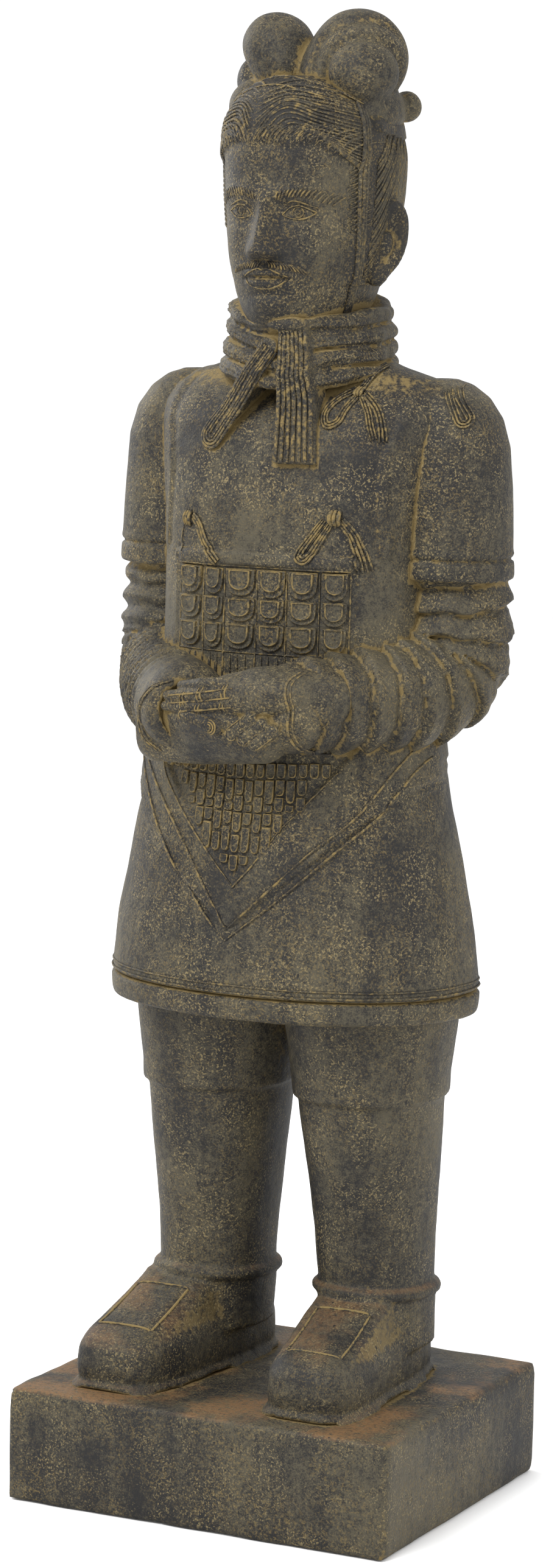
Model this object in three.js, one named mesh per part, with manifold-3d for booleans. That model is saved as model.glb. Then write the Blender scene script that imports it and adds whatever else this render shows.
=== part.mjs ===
// A standing armoured warrior, cast in one piece with the block plinth under its shoes.
// Millimetres, +Z up, the figure faces -Y, and the origin is the middle of the plinth's underside.

import * as THREE from "three";
import { mergeVertices } from "three/addons/utils/BufferGeometryUtils.js";
import Module from "manifold-3d";

// Driving dimensions
const FIGURE_HEIGHT = 1382; // soles to the top of the headdress
const PLINTH_WIDTH = 422;
const PLINTH_DEPTH = 375;
const PLINTH_HEIGHT = 118;
const PLINTH_EDGE_RADIUS = 4;

// The figure keeps its pose, proportions and carving as shares of its height. They are
// drawn in millimetres, up from the soles, and then brought to FIGURE_HEIGHT together.
const STANCE = 89; // middle of the figure to the middle of an ankle
const BODY_Y = 14; // the middle of the skirt, back from the middle of the plinth
const LEG_Y = 38;
const SOLE_SINK = 1; // how deep the figure runs into the plinth
const ANKLE_Z = 98;
const TROUSER_HEM_Z = 296;
const SKIRT_HEM_Z = 387;
const SKIRT_HEM_BAND = 22;
const WAIST_Z = 665;
const APRON_INNER_Z = WAIST_Z - 136; // tips of the apron's two V-shaped edges
const APRON_OUTER_Z = WAIST_Z - 194;
const BREAST_BAND_Z = 838;
const SHOULDER_Z = 992;
const SLEEVE_HEM_Z = 824;
const ELBOW_Z = 734;
const WRIST_Z = 703;
const COLLAR_Z = 1022;
const COLLAR_ROLLS = 4;
const COLLAR_ROLL_PITCH = 18;
const COLLAR_DROP = 14; // how much lower the front of a roll is than its side
const HEAD_Y = 7;
const COLLAR_Y = 18;
const CHIN_Z = 1078;
const HAIRLINE_Z = 1256;
const CROWN_Z = 1318;
const KNOT_RISE = 64; // crown of the head to the top of the headdress
const DRAWN_HEIGHT = CROWN_Z + KNOT_RISE;

// Depths of the carving
const GROOVE = 5;
const PLATE_RELIEF = 5;
const APRON_RELIEF = 6;
const RIBBON_RELIEF = 7;
const HAIR_RELIEF = 6;
const FOLD_RELIEF = 4;

const wasm = await Module();
wasm.setup();

// A closed geometry as a solid to cut and join.
function solidOf(geometry) {
  const bare = geometry.clone();
  bare.deleteAttribute("normal");
  bare.deleteAttribute("uv");
  const merged = mergeVertices(bare, 1e-3);
  return new wasm.Manifold(
    new wasm.Mesh({
      numProp: 3,
      vertProperties: merged.attributes.position.array,
      triVerts: new Uint32Array(merged.index.array),
    }),
  );
}

function joined(solids) {
  return solids.reduce((sum, next) => sum.add(next));
}

// A bell curve of height 1, `width` wide on each side of `middle`.
function bell(value, middle, width) {
  return Math.exp(-(((value - middle) / width) ** 2));
}

const bothSides = (make) => [make(-1), make(1)];

// A closed skin over rings of points. All rings have the same count, and run
// anticlockwise as seen from the side where the next ring lies.
function loft(rings) {
  const count = rings[0].length;
  const points = rings.flat();
  const faces = [];
  for (let ring = 0; ring + 1 < rings.length; ring++)
    for (let i = 0; i < count; i++) {
      const a = ring * count + i;
      const b = ring * count + ((i + 1) % count);
      faces.push(a, b, b + count, a, b + count, a + count);
    }
  const cap = (first, turned) => {
    const middle = new THREE.Vector3();
    for (let i = 0; i < count; i++)
      middle.addScaledVector(points[first + i], 1 / count);
    const centre = points.push(middle) - 1;
    for (let i = 0; i < count; i++) {
      const [a, b] = [first + i, first + ((i + 1) % count)];
      faces.push(centre, turned ? b : a, turned ? a : b);
    }
  };
  cap(0, true);
  cap((rings.length - 1) * count, false);
  return new THREE.BufferGeometry().setFromPoints(points).setIndex(faces);
}

// A level ring about [x, y]: squareness 2 is an ellipse, and more is a rounded rectangle.
function levelRing([z, x, y, halfWidth, halfDepth, squareness = 2], sides) {
  const power = (value) => Math.sign(value) * Math.abs(value) ** (2 / squareness);
  return Array.from({ length: sides }, (_, i) => {
    const angle = (2 * Math.PI * i) / sides;
    return new THREE.Vector3(
      x + halfWidth * power(Math.cos(angle)),
      y + halfDepth * power(Math.sin(angle)),
      z,
    );
  });
}

// A stack of level rings, each row [height, x, y, half width, half depth, squareness].
function stack(rows, sides) {
  return solidOf(loft(rows.map((row) => levelRing(row, sides))));
}

// A round limb along a curve. The radius is a function of the way along, 0 to 1.
function limb(curve, radius, steps, sides) {
  let across = new THREE.Vector3(1, 0, 0);
  const rings = Array.from({ length: steps + 1 }, (_, step) => {
    const t = step / steps;
    const along = curve.getTangentAt(t);
    across = across.clone().addScaledVector(along, -across.dot(along)).normalize();
    const third = along.clone().cross(across);
    return Array.from({ length: sides }, (_, k) => {
      const angle = (2 * Math.PI * k) / sides;
      return curve
        .getPointAt(t)
        .addScaledVector(across, radius(t) * Math.cos(angle))
        .addScaledVector(third, radius(t) * Math.sin(angle));
    });
  });
  return solidOf(loft(rings));
}

function curveThrough(points) {
  return new THREE.CatmullRomCurve3(points.map((point) => new THREE.Vector3(...point)));
}

// A rounded lump: an ellipsoid, turned about the x, y and z axes.
function lump(place, radii, turn = [0, 0, 0], sides = 16) {
  const ball = new THREE.SphereGeometry(1, sides, Math.round(sides * 0.6));
  ball.scale(...radii);
  ball.applyQuaternion(
    new THREE.Quaternion().setFromEuler(new THREE.Euler(...turn)),
  );
  return solidOf(ball.translate(...place));
}

// A rod with round ends from one point to another.
function rod(from, to, radius, sides = 10) {
  const [start, end] = [new THREE.Vector3(...from), new THREE.Vector3(...to)];
  const along = end.clone().sub(start);
  const shape = new THREE.CapsuleGeometry(radius, along.length(), 1, sides);
  shape.applyQuaternion(
    new THREE.Quaternion().setFromUnitVectors(
      new THREE.Vector3(0, 1, 0),
      along.clone().normalize(),
    ),
  );
  const middle = start.clone().lerp(end, 0.5);
  return solidOf(shape.translate(middle.x, middle.y, middle.z));
}

// An outline of [x, z] points as a prism from y = near back to y = far.
function prism(outline, near, far) {
  const shape = new THREE.Shape(outline.map(([x, z]) => new THREE.Vector2(x, z)));
  const block = new THREE.ExtrudeGeometry(shape, {
    depth: far - near,
    bevelEnabled: false,
  });
  return solidOf(block.rotateX(Math.PI / 2).translate(0, far, 0));
}

// A band of even width along a line of [x, z] points, as an outline.
function strip(line, width) {
  const offset = (side) =>
    line.map(([x, z], i) => {
      const [before, after] = [line[Math.max(i - 1, 0)], line[Math.min(i + 1, line.length - 1)]];
      const [dx, dz] = [after[0] - before[0], after[1] - before[1]];
      const reach = ((width / 2) * side) / Math.hypot(dx, dz);
      return [x - dz * reach, z + dx * reach];
    });
  return [...offset(1), ...offset(-1).reverse()];
}

// Torso and skirt: height, half width, front, back, squareness
const BODY = [
  [SKIRT_HEM_Z, 188, -121, 149, 2.1],
  [SKIRT_HEM_Z + 4, 193, -126, 154, 2.1],
  [SKIRT_HEM_Z + SKIRT_HEM_BAND, 194, -127, 155, 2.1],
  [SKIRT_HEM_Z + SKIRT_HEM_BAND + 4, 194 - GROOVE, -127 + GROOVE, 155 - GROOVE, 2.1],
  [SKIRT_HEM_Z + SKIRT_HEM_BAND + 8, 193, -126, 154, 2.1],
  [SKIRT_HEM_Z + 83, 187, -122, 149, 2.1],
  [SKIRT_HEM_Z + 149, 174, -114, 140, 2.1],
  [WAIST_Z, 148, -97, 122, 2.3],
  [BREAST_BAND_Z, 137, -92, 112, 2.5],
  [BREAST_BAND_Z + 62, 141, -89, 113, 2.5],
  [SHOULDER_Z - 47, 148, -81, 115, 2.4],
  [SHOULDER_Z - 17, 155, -70, 115, 2.3],
  [SHOULDER_Z, 158, -56, 111, 2.2],
  [SHOULDER_Z + 16, 154, -38, 104, 2.1],
  [SHOULDER_Z + 28, 132, -24, 94, 2.1],
  [SHOULDER_Z + 38, 96, -18, 82, 2.1],
  [SHOULDER_Z + 52, 62, -16, 72, 2],
];
const BODY_SIDES = 28;

// The body's skin, grown outwards by `relief`. A grown skin also reaches a little lower, so
// that what is raised from it never shares the plain body's underside.
function body(relief) {
  const rows = BODY.map(([z, halfWidth, front, back, squareness]) => [
    z,
    0,
    (front + back) / 2,
    halfWidth + relief,
    (back - front) / 2 + relief,
    squareness,
  ]);
  rows[0][0] -= relief > 0 ? 0.5 : 0;
  return stack(rows, BODY_SIDES);
}

// What stands proud of the body's front inside the outlines.
function raised(outlines, relief) {
  const blocks = outlines.map((outline) => prism(outline, -220, BODY_Y));
  return body(relief).intersect(joined(blocks));
}

// The apron: two V-shaped edges that run up to the waist, one inside the other.
function apronEdge(tipX, tipZ, lift) {
  const rise = (x) => tipZ + lift * Math.abs(x - tipX) ** 1.08;
  const xs = [-176, -90, tipX, 90, 176];
  return xs.map((x) => [x, rise(x)]);
}

function apron() {
  const inner = apronEdge(-8, APRON_INNER_Z, 0.66);
  const outer = apronEdge(-10, APRON_OUTER_Z, 0.58);
  const border = [...outer, ...inner.slice().reverse()];
  const rows = [31, 66, 101].map((up) => strip(apronRow(APRON_INNER_Z + up), 10));
  return raised([border, ...rows], APRON_RELIEF);
}

// One row of the small plates inside the apron, hanging in a shallow bow.
function apronRow(z) {
  const reach = (z - APRON_INNER_Z) / 0.9;
  return [-1, 0, 1].map((t) => [reach * t - 8, z + 12 * t * t]);
}

// The armour's square plates, each one raised from the chest below the breast band.
function plates() {
  const columns = [-60, -26, 8, 42, 76];
  const rows = 4;
  const [width, height, gap] = [34, 27, 4];
  const outlines = columns.flatMap((x) =>
    Array.from({ length: rows }, (_, row) => {
      const top = BREAST_BAND_Z - 8 - row * height;
      const [left, right] = [x - (width - gap) / 2, x + (width - gap) / 2];
      const bottom = top - height + gap;
      return [
        [left, bottom + 6],
        [x, bottom],
        [right, bottom + 6],
        [right, top],
        [left, top],
      ];
    }),
  );
  return raised(outlines, PLATE_RELIEF);
}

function breastBand() {
  const line = [-142, 142].map((x) => [x, BREAST_BAND_Z + 1]);
  return raised([strip(line, 14)], PLATE_RELIEF + 1);
}

// The edge of the body armour, up over each shoulder.
function shoulderStraps() {
  const lines = bothSides((side) => [
    [121 * side, BREAST_BAND_Z + 12],
    [118 * side, SHOULDER_Z - 62],
    [127 * side, SHOULDER_Z + 28],
  ]);
  return raised(
    lines.map((line) => strip(line, 9)),
    3,
  );
}

// A ribbon bow: a knot, two loops above it and two tails below it.
function bow(knotX, knotZ, size) {
  const stroke = (points, width) =>
    strip(
      points.map(([x, z]) => [knotX + x * size, knotZ + z * size]),
      width * size,
    );
  return [
    stroke([[-11, -5], [11, 7]], 19),
    stroke([[-4, 4], [-26, 18], [-46, 41]], 16),
    stroke([[6, 6], [22, 28], [32, 62]], 18),
    stroke([[-6, -4], [-32, -24]], 15),
    stroke([[6, -5], [16, -40]], 13),
  ];
}

function bows() {
  return raised(
    [
      ...bow(74, BREAST_BAND_Z + 52, 0.75),
      ...bow(-84, BREAST_BAND_Z + 40, 0.75),
      ...bow(92, SHOULDER_Z - 2, 0.85),
    ],
    RIBBON_RELIEF,
  );
}

// A ribbon's tail hanging from the neck, pleated: rows of [height over the foot of the
// collar, x, y, half width].
function tail(rows, pleats) {
  const [thick, root] = [9, 40];
  const rings = rows.map(([z, x, y, halfWidth]) => {
    const front = Array.from({ length: 2 * pleats + 1 }, (_, i) => {
      const fold = i % 2 === 0 ? 0 : -3;
      const across = x - halfWidth + (halfWidth * i) / pleats;
      return new THREE.Vector3(across, y - thick + fold, COLLAR_Z + z);
    });
    return [
      ...front,
      new THREE.Vector3(x + halfWidth, y + root, COLLAR_Z + z),
      new THREE.Vector3(x - halfWidth, y + root, COLLAR_Z + z),
    ];
  });
  return solidOf(loft(rings));
}

function scarfTails() {
  const middle = tail(
    [
      [-85, 35, -78, 22],
      [-37, 31, -74, 19],
      [8, 26, -78, 16],
      [46, 23, -86, 13],
    ],
    4,
  );
  const side = tail(
    [
      [-86, -70, -72, 7],
      [-80, -69, -72, 12],
      [-57, -60, -68, 15],
      [-12, -31, -70, 15],
      [34, -2, -84, 11],
    ],
    3,
  );
  return [middle, side];
}

// The rolled scarf, a stack of thick rolls that dip at the throat.
function collar() {
  const top = COLLAR_Z + COLLAR_ROLLS * COLLAR_ROLL_PITCH;
  const stepsPerRoll = 3;
  const rows = Array.from({ length: COLLAR_ROLLS * stepsPerRoll + 1 }, (_, i) => {
    const z = COLLAR_Z + (i * COLLAR_ROLL_PITCH) / stepsPerRoll;
    const valley = i % stepsPerRoll === 0;
    const narrow = ((z - COLLAR_Z) / (top - COLLAR_Z)) * 8 + (valley ? 7 : 0);
    return [z, 0, COLLAR_Y, 88 - narrow, 96 - narrow, 2.1];
  });
  const rings = rows.map((row) => levelRing(row, 18));
  for (const point of rings.flat()) {
    const forward = (COLLAR_Y - point.y) / 96;
    point.z -= COLLAR_DROP * forward * Math.abs(forward);
  }
  return solidOf(loft(rings));
}

// Heights of a face on even thirds: hairline, brow, foot of the nose and chin
const FACE_THIRD = (HAIRLINE_Z - CHIN_Z) / 3;
const BROW_Z = HAIRLINE_Z - FACE_THIRD;
const NOSE_Z = BROW_Z - FACE_THIRD;
const MOUTH_Z = NOSE_Z - FACE_THIRD / 3;
const EYE_Z = BROW_Z - FACE_THIRD / 4;
const EYE_X = 31;

// Skull and jaw: height, half width, front, back
const HEAD = [
  [CHIN_Z - 28, 44, -56, 54],
  [CHIN_Z - 12, 48, -70, 70],
  [CHIN_Z + 4, 54, -82, 82],
  [CHIN_Z + 22, 62, -86, 92],
  [CHIN_Z + 52, 70, -88, 98],
  [CHIN_Z + 87, 75, -90, 102],
  [CHIN_Z + 122, 78, -92, 104],
  [HAIRLINE_Z - 16, 80, -92, 105],
  [HAIRLINE_Z + 14, 76, -85, 99],
  [CROWN_Z - 26, 66, -68, 86],
  [CROWN_Z - 12, 50, -48, 66],
  [CROWN_Z - 4, 26, -24, 42],
];

// Half width, front and back of the head at any height, read between the rows.
function headSize(z) {
  const above = HEAD.findIndex((row) => row[0] >= z);
  const i = Math.min(Math.max(above - 1, 0), HEAD.length - 2);
  const [low, high] = [HEAD[i], HEAD[i + 1]];
  const share = (z - low[0]) / (high[0] - low[0]);
  return low.slice(1).map((value, k) => THREE.MathUtils.lerp(value, high[k + 1], share));
}

// How far the face stands forward of the plain head at [x, z].
function faceRelief(x, z) {
  const out = Math.abs(x);
  const noseLength = THREE.MathUtils.smoothstep(z, NOSE_Z - 7, NOSE_Z + 6);
  const bridge = THREE.MathUtils.smoothstep(BROW_Z - z, -10, FACE_THIRD);
  const noseWidth = 8 + 7 * bridge;
  return (
    (6 + 17 * bridge) * noseLength * bell(x, 0, noseWidth) * (z < BROW_Z + 10 ? 1 : 0) +
    4 * bell(z, BROW_Z, 8) * bell(out, EYE_X, 26) -
    8 * bell(z, EYE_Z, 12) * bell(out, EYE_X - 4, 18) +
    5 * bell(z, EYE_Z - 1, 6) * bell(out, EYE_X, 13) +
    4 * bell(z, NOSE_Z + 8, 22) * bell(out, 48, 18) +
    6 * bell(z, MOUTH_Z, 13) * bell(x, 0, 22) -
    4 * bell(z, MOUTH_Z, 2.5) * bell(x, 0, 20) -
    3 * bell(z, MOUTH_Z - 18, 5) * bell(x, 0, 20) +
    6 * bell(z, CHIN_Z + 12, 12) * bell(x, 0, 22)
  );
}

function headRing(z, sides) {
  const [halfWidth, front, back] = headSize(z);
  const middle = HEAD_Y + 6;
  return Array.from({ length: sides }, (_, i) => {
    const even = (2 * Math.PI * i) / sides;
    const angle = even + 0.38 * Math.cos(even) * (Math.sin(even) < 0 ? 1 : 0.4);
    const [c, s] = [Math.cos(angle), Math.sin(angle)];
    const x = halfWidth * Math.sign(c) * Math.abs(c) ** 0.92;
    const reach = s < 0 ? middle - front : back - middle;
    const y = middle + reach * Math.sign(s) * Math.abs(s) ** 0.92;
    const facing = THREE.MathUtils.smoothstep(-s, 0.15, 0.6);
    return new THREE.Vector3(x, y - facing * faceRelief(x, z), z);
  });
}

function head() {
  const heights = [HEAD[0][0], HEAD[1][0]];
  for (let z = CHIN_Z - 2; z < BROW_Z + 12; z += 9) heights.push(z);
  heights.push(BROW_Z + 30, HAIRLINE_Z + 8, CROWN_Z - 26, CROWN_Z - 4);
  return solidOf(loft(heights.map((z) => headRing(z, 28))));
}

// Combed hair over the skull, open at the face, with ears, locks and a tie.
function hair() {
  const rows = HEAD.map(([z, halfWidth, front, back]) => [
    z,
    0,
    (front + back) / 2,
    halfWidth + HAIR_RELIEF + 2,
    (back - front) / 2 + HAIR_RELIEF,
    2.2,
  ]);
  const cap = stack(rows.slice(1), 20);
  const halfFace = 70;
  const foot = CHIN_Z - 78;
  const arch = Array.from({ length: 9 }, (_, i) => {
    const angle = (Math.PI * i) / 8;
    return [halfFace * Math.cos(angle), HAIRLINE_Z + 46 * (Math.sin(angle) - 1)];
  });
  const opening = prism([...arch, [-halfFace, foot], [halfFace, foot]], -200, -22);
  return cap.subtract(opening);
}

// The hair heaped on the crown: a tall coil on the right, and on the left a broad one that
// wraps a ball, with a small ball and the bound end behind them.
function topknot() {
  const lift = CROWN_Z;
  const [middle, quarter] = [HEAD_Y + 12, Math.PI / 2];
  return joined([
    lump([-47, middle, lift + 14], [41, 46, 45], [0, -0.25, 0], 12),
    lump([44, middle, DRAWN_HEIGHT - 50], [50, 50, 50], [quarter, 0, 0], 12),
    lump([60, middle - 17, lift + 2], [38, 42, 36], [quarter, 0, 0], 10),
    ...bothSides((side) =>
      lump([58 * side, HEAD_Y + 10, lift - 40], [33, 52, 34], [0, 0.3 * side, 0], 8),
    ),
    lump([76, 66, lift - 30], [16, 16, 16], [0, 0, 0], 8),
    lump([0, HEAD_Y + 84, lift - 56], [46, 26, 20], [0, 0, 0], 10),
  ]);
}

function ears() {
  const middle = CHIN_Z + 74;
  return bothSides((side) => {
    const shell = lump([81 * side, 14, middle], [9, 19, 38], [0.18, 0, 0], 10);
    const hollow = lump([91 * side, 10, middle + 4], [7, 10, 24], [0.18, 0, 0], 8);
    return shell.subtract(hollow);
  });
}

// A cord from under the knot, down in front of the ear and into the collar.
function hairCords() {
  return bothSides((side) =>
    limb(
      curveThrough([
        [70 * side, -22, CROWN_Z - 22],
        [80 * side, -18, HAIRLINE_Z - 16],
        [82 * side, -16, CHIN_Z + 102],
        [78 * side, -20, CHIN_Z + 42],
        [70 * side, -28, CHIN_Z - 8],
      ]),
      () => 7,
      5,
      6,
    ),
  );
}

// Short sleeve of the armour's coat, with a plain band at its hem.
function upperSleeve(side) {
  const x = (reach) => reach * side;
  return stack(
    [
      [SLEEVE_HEM_Z, x(151), 40, 58, 62, 2.1],
      [SLEEVE_HEM_Z + 3, x(151), 40, 61, 65, 2.1],
      [SLEEVE_HEM_Z + 18, x(151), 40, 60, 64, 2.1],
      [SLEEVE_HEM_Z + 20, x(151), 40, 60 - GROOVE, 64 - GROOVE, 2.1],
      [SLEEVE_HEM_Z + 24, x(151), 40, 59, 63, 2.1],
      [SHOULDER_Z - 77, x(149), 40, 59, 62, 2.1],
      [SHOULDER_Z - 37, x(148), 40, 57, 59, 2.1],
      [SHOULDER_Z - 9, x(145), 40, 52, 53, 2.1],
      [SHOULDER_Z + 11, x(141), 40, 42, 44, 2.1],
      [SHOULDER_Z + 24, x(137), 40, 28, 32, 2.1],
      [SHOULDER_Z + 29, x(134), 40, 14, 18, 2.1],
    ],
    14,
  );
}

// Long sleeve from under the short one, round the elbow to the cuff, in soft ring folds.
function lowerSleeve(side) {
  const dip = side < 0 ? 8 : 0; // the right forearm lies a little lower
  const path = curveThrough([
    [150 * side, 42, SLEEVE_HEM_Z + 22],
    [153 * side, 44, SLEEVE_HEM_Z - 44],
    [148 * side, 34, ELBOW_Z - dip],
    [126 * side, -14, WRIST_Z + 9 - dip],
    [94 * side, -74, WRIST_Z + 3 - dip],
    [60 * side, -122, WRIST_Z - dip],
  ]);
  const folds = 8;
  const radius = (t) => {
    const plain = 56 + 5 * bell(t, 0.4, 0.25) - 10 * THREE.MathUtils.smoothstep(t, 0.55, 1);
    return plain - FOLD_RELIEF * Math.cos(2 * Math.PI * folds * t) * 0.5;
  };
  return limb(path, radius, folds * 2, 14);
}

// The clasped hands: the left one laid over the right one's closed fingers.
function hands() {
  const fingers = [18, 32, 46];
  const [upper, lower] = [WRIST_Z + 11, WRIST_Z - 21];
  return joined([
    lump([24, -144, upper], [70, 34, 27], [0, -0.12, 0], 10),
    lump([-34, -154, upper - 8], [36, 24, 20], [0, -0.3, 0], 8),
    lump([4, -138, lower], [72, 34, 30], [0, 0.1, 0], 10),
    rod([-34, -160, lower + 8], [2, -168, lower + 2], 9, 6),
    ...fingers.map((x) => rod([x, -165, lower - 6], [x + 18, -162, lower + 9], 7.5, 6)),
  ]);
}

function leg(side) {
  const at = (spread, y) => [(STANCE + spread) * side, y];
  const hem = TROUSER_HEM_Z;
  return stack(
    [
      [40, ...at(3, LEG_Y), 56, 64, 2.3],
      [ANKLE_Z - 12, ...at(2, LEG_Y), 57, 64, 2.3],
      [ANKLE_Z - 8, ...at(2, LEG_Y), 62, 70, 2.3],
      [ANKLE_Z + 6, ...at(2, LEG_Y), 62, 70, 2.3],
      [ANKLE_Z + 11, ...at(1, LEG_Y), 55, 63, 2.3],
      [ANKLE_Z + 60, ...at(0, LEG_Y - 1), 58, 67, 2.3],
      [hem - 3, ...at(-4, LEG_Y - 10), 69, 83, 2.3],
      [hem + 1, ...at(-4, LEG_Y - 11), 74, 88, 2.3],
      [hem + 24, ...at(-5, LEG_Y - 12), 75, 89, 2.3],
      [SKIRT_HEM_Z + 10, ...at(-6, LEG_Y - 13), 86, 100, 2.3],
    ],
    14,
  );
}

// A blunt shoe with its toe turned out, and its sole run out into the plinth in a fillet.
function shoe(side) {
  const [toeOut, heelOut] = side < 0 ? [119, 94] : [98, 82];
  const middleY = -16;
  const rows = [
    [-SOLE_SINK, 60, -160, 128, 4],
    [3, 54, -154, 122, 4],
    [9, 51, -151, 119, 4.2],
    [36, 52, -152, 119, 4],
    [50, 50, -146, 117, 3.6],
    [58, 45, -131, 114, 4],
    [63, 44, -104, 110, 4.5],
    [80, 44, -58, 106, 4.5],
    [96, 44, -28, 100, 4],
  ];
  const rings = rows.map(([z, halfWidth, toe, heel, squareness]) =>
    levelRing([z, 0, (toe + heel) / 2, halfWidth, (heel - toe) / 2, squareness], 16),
  );
  const slant = (toeOut - heelOut) / 270;
  for (const point of rings.flat())
    point.x += ((toeOut + heelOut) / 2 - slant * (point.y - middleY)) * side;
  return solidOf(loft(rings));
}

// The panel laid over the instep.
function vamp(side) {
  const [width, length, thick] = [66, 82, 8];
  const panel = new THREE.BoxGeometry(width, length, thick);
  panel.rotateX(Math.atan2(96 - 63, 104 - 28));
  panel.rotateZ(-0.07 * side);
  return solidOf(panel.translate((side < 0 ? 110 : 93) * side, -68, 78));
}

// The block under the shoes, with its long edges rounded over.
function plinth() {
  const [halfWidth, halfDepth] = [PLINTH_WIDTH / 2, PLINTH_DEPTH / 2];
  const radius = Math.min(PLINTH_EDGE_RADIUS, PLINTH_HEIGHT / 3);
  const shape = new THREE.Shape();
  const corners = [
    [halfWidth, -halfDepth, -Math.PI / 2],
    [halfWidth, halfDepth, 0],
    [-halfWidth, halfDepth, Math.PI / 2],
    [-halfWidth, -halfDepth, Math.PI],
  ];
  for (const [x, y, start] of corners)
    shape.absarc(
      x - Math.sign(x) * 2 * radius,
      y - Math.sign(y) * 2 * radius,
      radius,
      start,
      start + Math.PI / 2,
    );
  const block = new THREE.ExtrudeGeometry(shape, {
    depth: PLINTH_HEIGHT - 2 * radius,
    bevelThickness: radius,
    bevelSize: radius,
    bevelSegments: 2,
    curveSegments: 1,
  });
  return solidOf(block.translate(0, 0, radius));
}

function figure() {
  return joined([
    body(0),
    apron(),
    plates(),
    breastBand(),
    shoulderStraps(),
    bows(),
    ...scarfTails(),
    collar(),
    head(),
    hair(),
    topknot(),
    ...ears(),
    ...hairCords(),
    ...bothSides(upperSleeve),
    ...bothSides(lowerSleeve),
    hands(),
    ...bothSides(leg),
    ...bothSides(shoe),
    ...bothSides(vamp),
  ]);
}

// The finished solid as a mesh, with every point moved by `place`.
function geometryOf(solid, place) {
  const { vertProperties, triVerts } = solid.getMesh();
  const geometry = new THREE.BufferGeometry();
  geometry.setAttribute("position", new THREE.BufferAttribute(vertProperties, 3));
  geometry.setIndex(new THREE.BufferAttribute(triVerts, 1));
  return geometry.applyMatrix4(place);
}

const share = FIGURE_HEIGHT / DRAWN_HEIGHT;
const onPlinth = new THREE.Matrix4()
  .makeScale(share, share, share)
  .setPosition(0, 0, PLINTH_HEIGHT);
const standing = solidOf(geometryOf(figure(), onPlinth));
const geometry = geometryOf(plinth().add(standing), new THREE.Matrix4());
geometry.computeVertexNormals();

const castStone = new THREE.MeshStandardMaterial({
  color: 0x4a4438,
  roughness: 0.85,
  metalness: 0,
  flatShading: true,
});
const warrior = new THREE.Mesh(geometry, castStone);
warrior.name = "warrior_statue";

const statue = new THREE.Group();
statue.add(warrior);
export default statue;
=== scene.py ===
"""A standing armoured warrior cast in stone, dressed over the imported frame.

The figure is modelled as it was carved: soft forms joined into one another, read as a
signed distance in millimetres up from the soles, and skinned piece by piece. What is
laid on it in rows or along lines, such as plates, hair and ribbon strands, is made with
Geometry Nodes and stands half sunk in that skin.
"""

from __future__ import annotations

import logging
import math
from dataclasses import dataclass
from enum import Enum
from typing import Callable, Sequence

import bpy
import numpy as np
import openvdb
from mathutils import Matrix, Vector

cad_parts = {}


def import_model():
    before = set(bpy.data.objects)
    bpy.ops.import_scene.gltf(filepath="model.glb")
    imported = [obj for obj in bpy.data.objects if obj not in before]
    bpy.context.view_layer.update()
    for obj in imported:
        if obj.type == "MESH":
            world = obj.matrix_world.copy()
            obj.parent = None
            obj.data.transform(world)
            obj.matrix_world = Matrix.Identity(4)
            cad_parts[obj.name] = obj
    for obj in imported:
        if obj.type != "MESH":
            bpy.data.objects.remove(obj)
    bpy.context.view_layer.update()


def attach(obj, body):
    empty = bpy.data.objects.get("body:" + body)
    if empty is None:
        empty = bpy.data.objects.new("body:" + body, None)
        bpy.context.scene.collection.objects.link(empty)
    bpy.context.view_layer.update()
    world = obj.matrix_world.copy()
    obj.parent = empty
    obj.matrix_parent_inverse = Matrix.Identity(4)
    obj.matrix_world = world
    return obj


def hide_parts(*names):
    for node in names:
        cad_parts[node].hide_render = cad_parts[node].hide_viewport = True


Array = np.ndarray
Field = Callable[[Array, Array, Array], Array]
Row = Sequence[float]
Socket = bpy.types.NodeSocket
Tree = bpy.types.NodeTree
Piece = bpy.types.Object

LOG = logging.getLogger("warrior")
NODE = "warrior_statue"
BODY_NAME = "root"
MM = 0.001
SEED = 7

# Sizes and places in mm; heights are measured up from the soles
PLINTH_WIDTH = 422.0
PLINTH_DEPTH = 375.0
PLINTH_HEIGHT = 118.0
STANCE = 89.0
BODY_Y = 14.0
LEG_Y = 38.0
ANKLE_Z = 98.0
TROUSER_HEM_Z = 296.0
SKIRT_HEM_Z = 387.0
HEM_GROOVE_Z = 411.0
WAIST_Z = 700.0
BREAST_BAND_Z = 838.0
SHOULDER_Z = 992.0
SLEEVE_HEM_Z = 824.0
ELBOW_Z = 734.0
WRIST_Z = 703.0
COLLAR_Z = 1022.0
COLLAR_Y = 18.0
HEAD_Y = 7.0
CHIN_Z = 1078.0
HAIRLINE_Z = 1256.0
CROWN_Z = 1318.0

# How far in front of the middle a flat drawing starts, before it is laid on a form
FAR = 190.0
HEAD_FAR = 170.0
HANDS_FAR = 230.0

# Outlines that more than one piece follows
VAMP_PANEL = [(-30, -118), (30, -118), (31, -44), (-27, -44)]
LOWER_FINGERS = (((18, 679), (36, 694)), ((31, 675), (49, 690)), ((43, 671), (60, 684)))
ROW_LINES = (833, 804, 779, 751)
COLUMN_LINES = (-92, -60, -35, 1, 33, 66, 94)


class Side(Enum):
    """The figure's own right and left; its left is on the +X side."""

    RIGHT = -1
    LEFT = 1

    @property
    def label(self) -> str:
        """Name for pieces on this side."""
        return self.name.lower()


# Shared shapes of numbers


def step_up(value: Array, low: float, high: float) -> Array:
    """Rise smoothly from 0 at low to 1 at high.

    Args:
        value: The numbers to read.
        low: Where the rise starts.
        high: Where it ends; it may be below low, for a fall.

    Returns:
        Numbers from 0 to 1.
    """
    share = np.clip((value - low) / (high - low), 0.0, 1.0)
    return share * share * (3.0 - 2.0 * share)


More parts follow.
